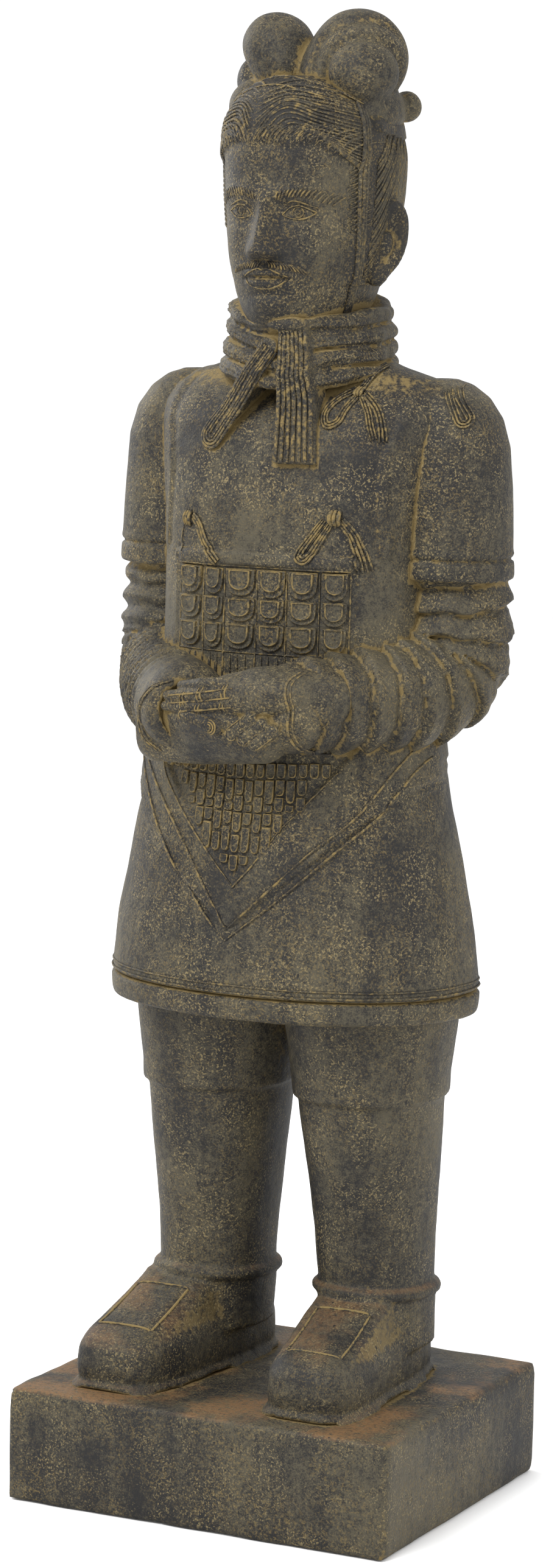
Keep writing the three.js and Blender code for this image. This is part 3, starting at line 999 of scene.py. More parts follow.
@dataclass
class Leg:
    """One trousered leg with its ankle ring and blunt shoe."""

    side: Side
    toe_out: float
    heel_out: float
    sole_sink: float = 1.0

    def __post_init__(self) -> None:
        """Read the sections of the leg and the shoe."""
        ankle, hem, s = ANKLE_Z, TROUSER_HEM_Z, self.side.value
        rows = [
            (40, 3, 0, 56, 64),
            (ankle - 12, 2, 0, 57, 64),
            (ankle + 11, 1, 0, 56, 64),
            (ankle + 60, 0, -1, 58, 67),
            (hem - 3, -4, -10, 69, 83),
            (hem + 1, -4, -11, 70, 84),
            (hem + 3, -4, -11, 75, 88),
            (hem + 24, -5, -12, 76, 89),
            (SKIRT_HEM_Z + 10, -6, -13, 86, 100),
        ]
        self.leg = Stack([(z, (STANCE + x) * s, LEG_Y + y, a, b, 2.3) for z, x, y, a, b in rows], 1.5)
        shoe = [
            (-self.sole_sink, 59, -159, 127, 4),
            (3, 54, -154, 122, 4),
            (9, 51, -151, 119, 4.2),
            (24, 52, -154, 120, 4),
            (40, 52, -152, 119, 3.8),
            (50, 50, -145, 117, 3.5),
            (57, 47, -134, 115, 3.4),
            (63, 45, -112, 112, 3.8),
            (72, 44, -84, 109, 4.2),
            (84, 44, -55, 105, 4.2),
            (96, 44, -28, 100, 4),
        ]
        self.shoe = Stack([(z, 0, (t + h) / 2, a, (h - t) / 2, n) for z, a, t, h, n in shoe], 2.5)
        self.slant = (self.toe_out - self.heel_out) / 270
        self.vamp = Drawing(-60, 60, -150, 20)
        for start, end in zip(VAMP_PANEL, VAMP_PANEL[1:] + VAMP_PANEL[:1]):
            self.vamp.groove([start, end], 2.0, 3.0)

    def field(self, x: Array, y: Array, z: Array) -> Array:
        """Give the distance to the leg with its shoe."""
        s = self.side.value
        leg = self.leg.distance(x, y, z)
        above = z - ANKLE_Z + 0.03 * (y - LEG_Y)
        ring = np.hypot(self.leg.distance(x, y, np.full_like(z, ANKLE_Z)), above) - 6.5
        own = x - ((self.toe_out + self.heel_out) / 2 - self.slant * (y + 16)) * s
        panel = self.vamp.at(own * s, y) * step_up(z, 50, 58)
        shoe = self.shoe.distance(own, y, z, panel)
        welt = 1.2 * bell(z, 9, 2.2) * step_up(z, -2, 2)
        return weathered(merge(merge(leg, shoe + welt, 6.0), ring, 2.0), x, y, z, 0.5)

    def vamp_lines(self) -> Strands:
        """Line the shoe's panel."""
        s = self.side.value
        lines = Strands(f"{self.side.label}_shoe_lines", 5)
        corners = np.array(VAMP_PANEL + VAMP_PANEL[:1], float)
        middle = (self.toe_out + self.heel_out) / 2 - self.slant * (corners[:, 1] + 16)
        corners[:, 0] = corners[:, 0] * s + middle * s
        for start, end in zip(corners[:-1], corners[1:]):
            run = [start, (start + end) / 2, end]
            lines.lay(run, 1.9, self.field, View.TOP, 150.0, rub=0.9, lift=0.3, taper=0.9)
        return lines

    def form(self) -> Form:
        """Return the leg's form, reaching up under the skirt."""
        s = self.side.value
        edges = sorted([2.0 * s, 188.0 * s])
        low = (edges[0] - 1, -166, -self.sole_sink)
        return Form(f"{self.side.label}_leg", low, (edges[1] + 1, 146, SKIRT_HEM_Z + 12), 3.3, self.field)


TORSO_ROWS = [
    (SKIRT_HEM_Z, 189, -122, 150, 2.1),
    (SKIRT_HEM_Z + 3, 193, -126, 154, 2.1),
    (SKIRT_HEM_Z + 22, 194, -127, 155, 2.1),
    (SKIRT_HEM_Z + 30, 193, -126, 154, 2.1),
    (470, 187, -122, 149, 2.1),
    (536, 174, -114, 140, 2.1),
    (600, 160, -105, 130, 2.2),
    (665, 148, -97, 122, 2.3),
    (750, 140, -93, 116, 2.4),
    (BREAST_BAND_Z, 137, -92, 112, 2.5),
    (900, 141, -89, 113, 2.5),
    (945, 148, -81, 115, 2.4),
    (975, 155, -70, 115, 2.3),
    (SHOULDER_Z, 158, -56, 111, 2.2),
    (SHOULDER_Z + 16, 154, -38, 104, 2.1),
    (SHOULDER_Z + 28, 132, -24, 94, 2.1),
    (SHOULDER_Z + 38, 96, -18, 82, 2.1),
    (SHOULDER_Z + 52, 62, -16, 72, 2.0),
]


class Torso:
    """The coat: skirt, armour and chest as one skin, in pieces that meet in its grooves."""

    def __init__(self) -> None:
        """Read the sections and draw the low relief of the front."""
        self.stack = Stack([(z, 0, (f + b) / 2, w, (b - f) / 2, n) for z, w, f, b, n in TORSO_ROWS], 3.0)
        self.apron = Drawing(-190, 190, 440, 720)
        self.draw_apron()
        self.front = Drawing(-165, 165, 715, 1046)
        self.draw_chest()

    def apron_edge(self, tip_x: float, tip_z: float, lift: float) -> list[tuple[float, float]]:
        """Return a V-shaped line that bends outwards as it rises.

        Args:
            tip_x: x of its tip.
            tip_z: Height of its tip.
            lift: How steeply it rises.

        Returns:
            Points of x and z from right to left of the figure.
        """
        reach = (-186, -140, -95, -50, -18, 0, 18, 50, 95, 140, 186)
        return [(tip_x + d, tip_z + lift * abs(d) ** 1.08) for d in reach]

    def draw_apron(self) -> None:
        """Draw the apron's wide border between two V-shaped lines, and its piping."""
        sheet = self.apron
        inner = np.array(self.apron_edge(-6, 519, 0.86))
        outer = np.array(self.apron_edge(-10, 478, 0.585))
        gx, gz = np.meshgrid(sheet.x, sheet.z, indexing="ij")
        above_outer = gz - np.interp(gx, outer[:, 0], outer[:, 1])
        above_inner = gz - np.interp(gx, inner[:, 0], inner[:, 1])
        sheet.height += 5.0 * step_up(above_outer, -2.0, 1.5)
        sheet.height -= 3.5 * step_up(above_inner, -1.0, 2.5)
        for shift, depth in ((0.0, 1.6), (9.0, 1.8)):
            sheet.height -= depth * bell(above_outer, shift, 2.2)
        sheet.height += 1.6 * bell(above_outer, -7.0, 3.0) - 1.4 * bell(above_outer, -13.0, 2.5)

    def draw_chest(self) -> None:
        """Draw the breast band, the armour's edges, the ribbons' beds and the coat's creases."""
        sheet = self.front
        sheet.raise_line([(-94, 841), (0, 842), (94, 841)], 14, 4.0)
        for x in (-95, 97):
            sheet.groove([(x, 715), (x + 1, 780), (x, 848)], 2.4, 2.0)
        sheet.groove([(106, 957), (103, 920), (98, 885)], 2.2, 1.0)
        sheet.groove([(-60, 925), (-20, 912), (30, 915), (70, 925)], 9.0, 0.8)
        for s in (-1, 1):
            sheet.raise_line([(121 * s, 850), (118 * s, 930), (130 * s, 990), (112 * s, 1044)], 9, 1.6)
            sheet.groove([(112 * s, 850), (109 * s, 930), (119 * s, 988), (103 * s, 1044)], 1.8, 1.4)

    def field(self, x: Array, y: Array, z: Array) -> Array:
        """Give the distance to the whole coat."""
        forward = step_up(y, 48, 30)
        apron_side = step_up(y, BODY_Y + 22, BODY_Y - 12)
        relief = self.front.at(x, z) * forward + self.apron.at(x, z) * apron_side
        behind = 1.0 - apron_side
        belt = 5.0 * step_up(z, 640, 643) * step_up(z, 700, 697)
        belt = belt + 1.2 * bell(z, 634, 3.0) - 1.4 * bell(z, 627, 2.5)
        relief = relief + belt * behind * step_up(np.abs(x), 190, 100)
        relief = relief + 3.0 * bell(z, 842, 7.5) * step_up(y, 60, 90)
        relief = relief - 4.5 * bell(z, HEM_GROOVE_Z, 2.0) - 1.2 * bell(z, HEM_GROOVE_Z + 8.0, 1.8)
        folds = 1.6 * np.sin(np.arctan2(y - BODY_Y, x) * 9.0 + 0.6 * np.sin(z * 0.02)) * step_up(z, 600, 430)
        relief = relief + folds * step_up(y, -20, 60)
        spine = -2.0 * bell(x, 0, 16) * step_up(y, 60, 100) * step_up(z, 690, 760) * step_up(z, 980, 900)
        return weathered(self.stack.distance(x, y, z, relief + spine), x, y, z, 0.55)

    def band(self, name: str, low: float, high: float, voxel: float) -> Form:
        """Return the stretch of the coat between two heights.

        Args:
            name: Name of the piece.
            low: Its lower height.
            high: Its upper height.
            voxel: Fineness of its skin in mm.

        Returns:
            The form, closed at both heights.
        """

        def field(x: Array, y: Array, z: Array) -> Array:
            """Give the distance to this stretch."""
            return np.maximum(self.field(x, y, z), np.maximum(low - z, z - high))

        pad = 3 * voxel
        return Form(name, (-204, -140, low - pad), (204, 166, high + pad), voxel, field)

    def forms(self) -> list[Form]:
        """Return the hem, the skirt, and the armour with the chest."""
        return [
            self.band("skirt_hem", SKIRT_HEM_Z, HEM_GROOVE_Z, 3.4),
            self.band("skirt", HEM_GROOVE_Z, WAIST_Z, 3.1),
            self.band("armour", WAIST_Z, SHOULDER_Z + 52, 2.8),
        ]


@dataclass
class Sleeve:
    """The armour's short sleeve and the long one under it, folded round the elbow."""

    side: Side
    dip: float

    def __post_init__(self) -> None:
        """Read the short sleeve's sections and lay the arm's line."""
        s, hem = self.side.value, SLEEVE_HEM_Z
        rows = [
            (hem, 151, 59, 63),
            (hem + 3, 151, 61, 65),
            (hem + 18, 151, 60.5, 64.5),
            (hem + 26, 151, 59.5, 63.5),
            (915, 149, 59, 62),
            (955, 148, 57, 59),
            (983, 145, 52, 53),
            (1003, 141, 42, 44),
            (1016, 137, 28, 32),
            (1021, 134, 14, 18),
        ]
        self.upper = Stack([(z, x * s, 40, a, b, 2.1) for z, x, a, b in rows], 2.0)
        dip = self.dip
        self.way = Way(
            [
                (150 * s, 42, hem + 22),
                (153 * s, 44, 780),
                (148 * s, 34, ELBOW_Z - dip),
                (126 * s, -14, 712 - dip),
                (94 * s, -74, 706 - dip),
                (60 * s, -122, WRIST_Z - dip),
            ]
        )

    def folds(self, along: Array, x: Array, y: Array, z: Array) -> Array:
        """Give the height of the ring folds.

        Args:
            along: Distance along the arm's line.
            x, y, z: The points' places.

        Returns:
            Heights in mm.
        """
        sway = 3.0 * np.sin(0.045 * z + 0.03 * y + self.side.value) + 1.5 * FINE.at(x, y, z)
        if self.side is Side.LEFT:
            phase = (along + sway) / 26.5
            wave = phase - np.floor(phase)
            crease = 3.2 * bell(np.minimum(wave, 1.0 - wave) * 26.5, 0.0, 1.9)
            return 6.2 * (wave**1.2 * step_up(wave, 1.0, 0.78) * 1.4 - 0.45) - crease
        fine = step_up(along, 78, 100) * step_up(along, self.way.length - 24, self.way.length - 46)
        wide = 3.4 * np.sin((along + sway) / 26.0 * 2 * math.pi) * step_up(along, 100, 78)
        phase = (along + 0.5 * sway) / 12.5
        wave = phase - np.floor(phase)
        crease = 1.8 * bell(np.minimum(wave, 1.0 - wave) * 12.5, 0.0, 1.6)
        return wide + fine * (3.2 * (wave**1.2 * step_up(wave, 1.0, 0.7) * 1.5 - 0.4) - crease)

    def field(self, x: Array, y: Array, z: Array) -> Array:
        """Give the distance to both sleeves of this side."""
        hem = SLEEVE_HEM_Z
        seam = -4.0 * bell(z, hem + 21, 2.0) + 0.8 * bell(z, hem + 26, 2.5)
        upper = self.upper.distance(x, y, z, seam)
        away, along = self.way.nearest(x, y, z)
        share = along / self.way.length
        radius = 54.5 + 5.0 * bell(share, 0.4, 0.25) - 9.0 * step_up(share, 0.55, 1.0)
        lower = (away - radius - self.folds(along, x, y, z)) * 0.9
        end, before = self.way.points[-1], self.way.points[-3]
        out = (end - before) / np.linalg.norm(end - before)
        past = (x - end[0]) * out[0] + (y - end[1]) * out[1] + (z - end[2]) * out[2]
        lower = -merge(-lower, -(past - 26.0), 8.0)
        hollow = np.maximum(away - (36.0 if self.side is Side.RIGHT else 39.0), 18.0 - past)
        lower = cut(lower, hollow, 5.0)
        return weathered(merge(upper, lower, 3.0), x, y, z, 0.4)

    def form(self) -> Form:
        """Return the sleeves' form."""
        s = self.side.value
        edges = sorted([14.0 * s, 219.0 * s])
        low, high = (edges[0], -184, 626), (edges[1], 112, 1026)
        return Form(f"{self.side.label}_sleeve", low, high, 2.7, self.field)


class Hands:
    """The clasped hands, the left one laid over the right one's closed fingers."""

    def field(self, x: Array, y: Array, z: Array) -> Array:
        """Give the distance to both hands."""
        back = ellipsoid(x, y, z, (28, -146, 714), (64, 32, 25), (0, -0.1, 0))
        wrist = rod(x, y, z, (90, -120, 712), (40, -142, 715), 30, 26)
        upper = merge(back, wrist, 14)
        fingers = ((727, -46, 16), (718, -60, 14), (708.5, -62, 13), (699, -56, 14))
        for i, (height, tip, root) in enumerate(fingers):
            depth = -163 - (3.0, 6.0, 6.0, 3.0)[i]
            knuckle = (-18, depth - 1, height - 3 - i)
            first = rod(x, y, z, (root, depth + 3, height), knuckle, 7.6, 6.8)
            last = rod(x, y, z, knuckle, (tip, depth + 9, height - 7 - i), 6.8, 5.2)
            upper = merge(upper, merge(first, last, 2.0), 2.2)
        under = ellipsoid(x, y, z, (6, -138, 686), (74, 35, 29), (0, 0.1, 0))
        drape = rod(x, y, z, (-84, -112, 668), (36, -140, 672), 34, 24)
        under = merge(under, drape, 6.0)
        lower = merge(under, rod(x, y, z, (-90, -112, 694), (-30, -138, 688), 30, 25), 14)
        lower = merge(lower, ellipsoid(x, y, z, (64, -138, 692), (28, 28, 22)), 10)
        thumb = rod(x, y, z, (-34, -166, 691), (0, -172, 684), 10, 8.2)
        lower = merge(lower, thumb, 3.0)
        for start, end in LOWER_FINGERS:
            finger = rod(x, y, z, (start[0], -172, start[1]), (end[0], -170, end[1]), 6.6, 7.4)
            lower = merge(lower, finger, 1.8)
        return weathered(merge(upper, lower, 1.5), x, y, z, 0.25)

    def form(self) -> Form:
        """Return the hands' form."""
        return Form("hands", (-106, -184, 640), (112, -88, 748), 1.8, self.field)


@dataclass
class Scarf:
    """The rolled scarf round the neck, and its two tails draped over it and the coat under them."""

    under: Field
    half_width: float = 89.0
    half_depth: float = 97.0
    rise: float = 72.0
    pitch: float = 18.0
    tail_foot: float = 937.0
    tail_top: float = 1079.0
    tie: float = 1050.0

    def roll(self, x: Array, y: Array, z: Array) -> Array:
        """Give the distance to the stack of rolls."""
        forward = np.clip((COLLAR_Y - y) / 96.0, -1.0, 1.0)
        level = z + 14.0 * forward * np.abs(forward) - COLLAR_Z
        turn = np.arctan2(x, COLLAR_Y - y)
        level = level + 4.0 * np.sin(turn + 0.4) + 1.6 * np.sin(turn * 5.0 + level * 0.05)
        phase = level / self.pitch
        wave = phase - np.floor(phase)
        bulge = np.sqrt(np.maximum(1.0 - (2.0 * wave - 1.0) ** 2, 0.02))
        sub = np.abs(((wave * 3.0 + 0.5 * np.sin(turn * 2 + phase)) % 1.0) - 0.5) * 2.0
        fine = -2.2 * np.exp(-(((1.0 - sub) / 0.4) ** 2)) * step_up(y, 40, -20)
        narrow = np.clip(level / self.rise, 0, 1) * 8.0
        grow = -narrow - 8.5 * (1.0 - bulge) + fine + 1.4 * FINE.at(x, y, z)
        a, b = self.half_width, self.half_depth
        u, v = np.abs(x) / a, np.abs(y - COLLAR_Y) / b
        reach = np.sqrt(u * u + v * v) + 1e-3
        slope = np.sqrt((u / a) ** 2 + (v / b) ** 2) / reach
        wall = (reach - 1.0) / slope - grow
        top = level - 71.0 + 0.06 * np.maximum(-wall, 0.0) ** 1.3
        return -merge(-wall, -np.maximum(top, -2.0 - level), 7.0)

    def tails(self, x: Array, y: Array, z: Array, rolls: Array) -> Array:
        """Give the distance to the two tails, which hang from the throat on the front.

        Args:
            x, y, z: The points' places.
            rolls: Distance to the rolls there.

        Returns:
            Signed distance in mm.
        """
        narrow = np.clip((z - COLLAR_Z + 10.0) / self.rise, 0, 1) * 8.0
        wall = np.hypot(x / self.half_width, (y - COLLAR_Y) / self.half_depth)
        wall = (wall - 1.0) * 92.0 + narrow
        below = merge(np.minimum(rolls, wall), self.under(x, y, z), 26.0)
        share = np.clip((z - self.tail_foot) / 131.0, 0, 1)
        middle, half = 35.5 - 12.0 * share, 21.5 - 8.5 * share
        ends = np.maximum(self.tail_foot - z, z - self.tail_top)
        sides = np.maximum(np.abs(x - middle) - half, ends)
        middle_tail = -merge(-(below - 4.5), -sides, 4.0)
        span = (-62.0, -89.0)
        down = z - self.tie
        along = np.clip((x * span[0] + down * span[1]) / (span[0] ** 2 + span[1] ** 2), 0, 1)
        away = np.hypot(x - along * span[0], down - along * span[1])
        left_tail = -merge(-(below - 3.0), -(away - 9.5 - 3.5 * along), 3.0)
        knot = ellipsoid(x, y, z, (14, COLLAR_Y - 88, 1073), (20, 11, 8))
        return np.maximum(merge(np.minimum(middle_tail, left_tail), knot, 5.0), y + 40.0)

    def field(self, x: Array, y: Array, z: Array) -> Array:
        """Give the distance to the scarf."""
        rolls = self.roll(x, y, z)
        return weathered(merge(rolls, self.tails(x, y, z, rolls), 1.5), x, y, z, 0.25)

    def form(self) -> Form:
        """Return the scarf's form."""
        return Form("scarf", (-96, -106, 930), (96, 122, 1112), 2.0, self.field)


@dataclass(frozen=True)
class FacePlan:
    """Heights and widths of a calm, even face, from thirds between hairline and chin."""

    hairline: float = HAIRLINE_Z
    chin: float = CHIN_Z
    eye_x: float = 31.0

    @property
    def third(self) -> float:
        """A third of the face's height."""
        return (self.hairline - self.chin) / 3

    @property
    def brow(self) -> float:
        """Height of the brows."""
        return self.hairline - self.third

    @property
    def nose(self) -> float:
        """Height of the foot of the nose."""
        return self.brow - self.third

    @property
    def mouth(self) -> float:
        """Height of the line between the lips."""
        return self.nose - self.third / 3

    @property
    def eye(self) -> float:
        """Height of the middle of the eyes."""
        return self.brow - self.third / 4


HEAD_ROWS = [
    (1050, 44, -56, 54),
    (1066, 48, -70, 70),
    (1082, 54, -82, 82),
    (1100, 62, -86, 92),
    (1130, 70, -88, 98),
    (1165, 75, -90, 102),
    (1200, 78, -92, 104),
    (1240, 80, -92, 105),
    (1270, 76, -85, 99),
    (1292, 66, -68, 86),
    (1306, 50, -48, 66),
    (1314, 26, -24, 42),
]


class Head:
    """The head with its face, ears and cap of combed hair."""

    def __init__(self) -> None:
        """Read the skull's sections, its front and back apart."""
        self.plan = FacePlan()
        middle = HEAD_Y + 6
        self.middle = middle
        self.front = Stack([(z, 0, middle, w, middle - f, 2.17) for z, w, f, _ in HEAD_ROWS], 5.0)
        self.back = Stack([(z, 0, middle, w, b - middle, 2.17) for z, w, _, b in HEAD_ROWS], 5.0)

    def face(self, x: Array, z: Array) -> Array:
        """Give how far the face stands forward of the plain head.

        Args:
            x, z: The points' places.

        Returns:
            Heights in mm.
        """
        plan, out = self.plan, np.abs(x)
        down = step_up(plan.brow - z, -12.0, plan.third)
        length = step_up(z, plan.nose - 4, plan.nose + 5) * step_up(z, plan.brow + 16, plan.brow - 6)
        width = 7.5 + 6.0 * down
        nose = (5.0 + 18.0 * down) * length * bell(x, 0, width)
        wings = 7.0 * bell(z, plan.nose + 6, 8) * bell(out, 12.5, 6.5)
        brow = 4.5 * bell(z, plan.brow + 1 - 0.06 * out, 8) * bell(out, plan.eye_x, 27)
        socket = -9.0 * bell(z, plan.eye, 11.5) * bell(out, plan.eye_x - 3, 18)
        eyeball = 6.5 * bell(z, plan.eye - 1, 8.5) * bell(out, plan.eye_x, 15)
        cheek = 4.5 * bell(z, plan.nose + 10, 24) * bell(out, 47, 20)
        muzzle = 5.5 * bell(z, plan.mouth + 3, 17) * bell(x, 0, 30)
        half = 25.0
        spread = np.clip(1.0 - (x / half) ** 2, 0, 1)
        upper = 3.6 * bell(z, plan.mouth + 5.0, 4.6) * spread**0.7
        lower = 4.4 * bell(z, plan.mouth - 6.0, 5.2) * spread**0.9
        line = -4.2 * bell(z, plan.mouth - 0.8 * (x / half) ** 2, 1.9) * step_up(out, 29, 22)
        under = -3.0 * bell(z, plan.mouth - 16, 5.5) * bell(x, 0, 20)
        chin = 6.0 * bell(z, plan.chin + 13, 12) * bell(x, 0, 20)
        return nose + wings + brow + socket + eyeball + cheek + muzzle + upper + lower + line + under + chin

    def skull(self, x: Array, y: Array, z: Array, grow: Array | float = 0.0) -> Array:
        """Give the distance to the head without hair or ears, its wall grown by some height."""
        facing = step_up((self.middle - y) / 100.0, 0.12, 0.55)
        moved = y + facing * self.face(x, z)
        ahead = self.front.distance(x, np.minimum(moved, self.middle), z, grow)
        behind = self.back.distance(x, np.maximum(y, self.middle), z, grow)
        return np.where(y < self.middle, ahead, behind)

    def hair_mask(self, x: Array, y: Array, z: Array) -> Array:
        """Give how far a place is inside the hair's edge, in mm."""
        out = np.abs(x)
        line = 1247.0 - 0.5 * np.maximum(out - 50, 0) ** 1.15 + 2.0 * np.sin(0.17 * x + 1.0)
        above = z - line
        behind = np.minimum(y + 34.0, z - 1112.0)
        return -merge(-above, -behind, 4.0)

    def ear(self, x: Array, y: Array, z: Array) -> Array:
        """Give the distance to the two ears; the left one stands out, the right one lies flat."""
        out = np.abs(x) + 8.0 * (x < 0)
        back = y - 12.0 * (x < 0)
        turn = (0.0, 0.2, 0.75)
        shell = ellipsoid(out, back, z, (82, 14, 1158), (22, 8.5, 39), turn)
        lobe = ellipsoid(out, back, z, (76, 5, 1124), (11, 8, 14), turn)
        bowl = ellipsoid(out, back, z, (88, 8, 1162), (15, 8, 29), turn)
        inner = ellipsoid(out, back, z, (82, 9, 1150), (8, 6, 15), turn)
        shell = cut(merge(shell, lobe, 8.0), bowl, 3.0)
        return merge(shell, inner, 3.0)

    def hair(self, x: Array, y: Array, z: Array) -> Array:
        """Give the distance to the cap of hair."""
        mask = self.hair_mask(x, y, z)
        back_mass = 4.0 * step_up(y, 40, 80) * bell(z, 1215, 60)
        thick = 3.6 * step_up(mask, -4.0, 5.0) + 2.2 * step_up(mask, 8.0, 30.0)
        cap = self.skull(x, y, z, thick + back_mass * step_up(mask, 0, 4))
        return np.maximum(cap, -mask - 4.0)

    def scalp(self, x: Array, y: Array, z: Array) -> Array:
        """Give the distance to the head with its hair, but without ears, straps or tie."""
        return np.minimum(self.skull(x, y, z), self.hair(x, y, z))

    def field(self, x: Array, y: Array, z: Array) -> Array:
        """Give the distance to the head."""
        head = self.scalp(x, y, z)
        around = (y - 10.0) / 100.0
        tie = bell(z, 1268 - 8 * around, 9.0)
        band = self.back.distance(x, np.maximum(y, self.middle), z, 10.0)
        band = np.where(y > -16, band + 19.0 * (1 - np.minimum(tie * 2.2, 1.0)), 50.0)
        head = merge(head, np.maximum(band, -12.0 - y), 2.0)
        return weathered(merge(head, self.ear(x, y, z), 1.5), x, y, z, 0.25)

    def form(self) -> Form:
        """Return the head's form."""
        return Form("head", (-104, -124, 1050), (104, 128, 1320), 2.0, self.field)


class Topknot:
    """Great coils of hair heaped on the crown and bound at their foot."""

    def field(self, x: Array, y: Array, z: Array) -> Array:
        """Give the distance to the coils."""
        left = ellipsoid(x, y, z, (-45, 19, 1345), (34, 40, 32))
        left = merge(left, ellipsoid(x, y, z, (-27, 12, 1315), (27, 32, 30)), 30.0)
        behind = ellipsoid(x, y, z, (-70, 36, 1309), (24, 28, 28))
        left = np.minimum(left, behind) + 2.5 * bell(left - behind, 0.0, 4.0)
        ball = ellipsoid(x, y, z, (62, -8, 1319), (36, 38, 34))
        band = ellipsoid(x, y, z, (44, 19, 1332), (50, 46, 49.6))
        band = merge(band, ellipsoid(x, y, z, (20, 8, 1312), (30, 38, 34)), 16.0)
        band = band + 4.0 * bell(ball, 15.0, 4.5) * step_up(y, 30, 10)
        right = np.minimum(band, ball) + 4.5 * bell(band - ball, 0.0, 5.0)
        result = merge(left, right, 2.5)
        for s in (-1, 1):
            low = ellipsoid(x, y, z, (57 * s, HEAD_Y + 12, 1284), (33, 50, 30), (0, 0.3 * s, 0))
            result = merge(result, low, 2.5)
        result = merge(result, ellipsoid(x, y, z, (77, 62, 1287), (15.5, 15.5, 15.5)), 2.0)
        result = merge(result, ellipsoid(x, y, z, (0, HEAD_Y + 84, 1266), (46, 26, 20)), 4.0)
        rear = ellipsoid(x, y, z, (0, 46, 1312), (52, 34, 40))
        return weathered(merge(result, rear, 5.0), x, y, z, 0.5)

    def form(self) -> Form:
        """Return the coils' form."""
        return Form("topknot", (-98, -54, 1240), (106, 126, 1386), 2.8, self.field)


# What is carved in lines and rows


def comb_hair(head: Head) -> Strands:
    """Comb the hair back in strands, from a parting and the hairline to the straps and the tie.

    Args:
        head: The head that it grows on.

    Returns:
        The strands.
    """
    strands = Strands("hair", 5)
    chance = np.random.default_rng(SEED)
    parting_x, top, hairline = -17.0, CROWN_Z - 14, HAIRLINE_Z - 9
    for side, count in ((1, 24), (-1, 19)):
        end_x = 77.0 * side
        for i in range(count):
            q = (i + 0.3 * chance.random()) / count
            if q < 0.36:
                start = (parting_x + 3 * side, top - (top - hairline) * q / 0.36)
            else:
                share = (q - 0.36) / 0.64
                reach = abs(end_x - parting_x) - 8
                start = (parting_x + side * share * reach, hairline + 2 - 36.0 * max(share - 0.5, 0.0) ** 1.3)
            end = (end_x, CROWN_Z - 24 - 84.0 * q)
            wide = end[0] - start[0]
            rise = 0.26 * abs(wide) * (0.35 + 0.65 * min(q / 0.36, 1.0))
            bend = (start[0] + 0.28 * wide, max(start[1], end[1]) + rise * 0.8)
            after = (start[0] + 0.66 * wide, 0.4 * bend[1] + 0.6 * end[1] + 3.0)
            strands.lay([start, bend, after, end], 1.75, head.scalp, far=HEAD_FAR, rub=0.5, step=4.0)
        for x in np.arange(2.0, abs(end_x - parting_x) - 10, 4.3):
            root = parting_x + side * (x + 1.5 * chance.random())
            foot = hairline - 1 - 0.5 * max(abs(root) - 50, 0) ** 1.15 + 2.5 * chance.random()
            bends = ((0, 0), (2.5, 8), (8, 15), (17, 19))
            run = [(root + across * side, foot + up) for across, up in bends]
            strands.lay(run, 1.6, head.scalp, far=HEAD_FAR, rub=0.5)
        for foot in np.arange(1168.0, 1226.0, 4.4):
            root = (66 + 2 * chance.random()) * side
            run = [(root, foot - 5), (72 * side, foot - 1), (79 * side, foot + 5)]
            strands.lay(run, 1.5, head.scalp, far=HEAD_FAR, rub=0.4, step=2.0)
    for view, side in ((View.LEFT, 1), (View.RIGHT, -1)):
        for i, foot in enumerate(np.arange(1030.0, 1262.0, 4.6)):
            lean = 2.0 * math.sin(1.7 * i)
            run = [(-13 + 12 * k, foot + 13.0 * k + 1.1 * k * k + lean) for k in range(9)]
            run = [point for point in run if 1112 < point[1] < 1263]
            if len(run) > 2:
                strands.lay(run, 1.9, head.scalp, view, taper=0.6, rub=0.45, step=4.0)
        for y in np.arange(-18.0, 74.0, 4.6):
            run = [(y, 1277), (y * 0.96 + 1, 1290), (y * 0.86 + 4, 1303)]
            strands.lay(run, 1.9, head.scalp, view, rub=0.4)
    for x in np.arange(-70.0, 71.0, 4.7):
        foot = 1113 + 5 * math.sin(2.1 * x)
        run = [(x, foot), (x * 1.02, 1190), (x * 0.94, 1262)]
        strands.lay(run, 2.0, head.scalp, View.BACK, taper=0.6, rub=0.4, step=6.0)
    for x in np.arange(-58.0, 59.0, 4.6):
        run = [(x, 1277), (x * 0.9, 1290), (x * 0.76, 1302)]
        strands.lay(run, 1.9, head.scalp, View.BACK, rub=0.4)
    return strands


def tie_straps(head: Head) -> Strands:
    """Lay the two flat straps that come down in front of the ears."""
    straps = Strands("straps", 8)
    for view, back in ((View.LEFT, 0.0), (View.RIGHT, 22.0)):
        run = [(-24, 1300), (-30, 1262), (-31, 1215), (-28, 1165), (-22, 1118), (-15, 1084), (-16, 1060)]
        for offset in (-3.2, 0.0, 3.2):
            line = beside(curve_through([(y + back, z) for y, z in run], 5), offset)
            straps.lay(line, 2.6, head.scalp, view, taper=0.9, lift=0.7, rub=0.3)
    return straps


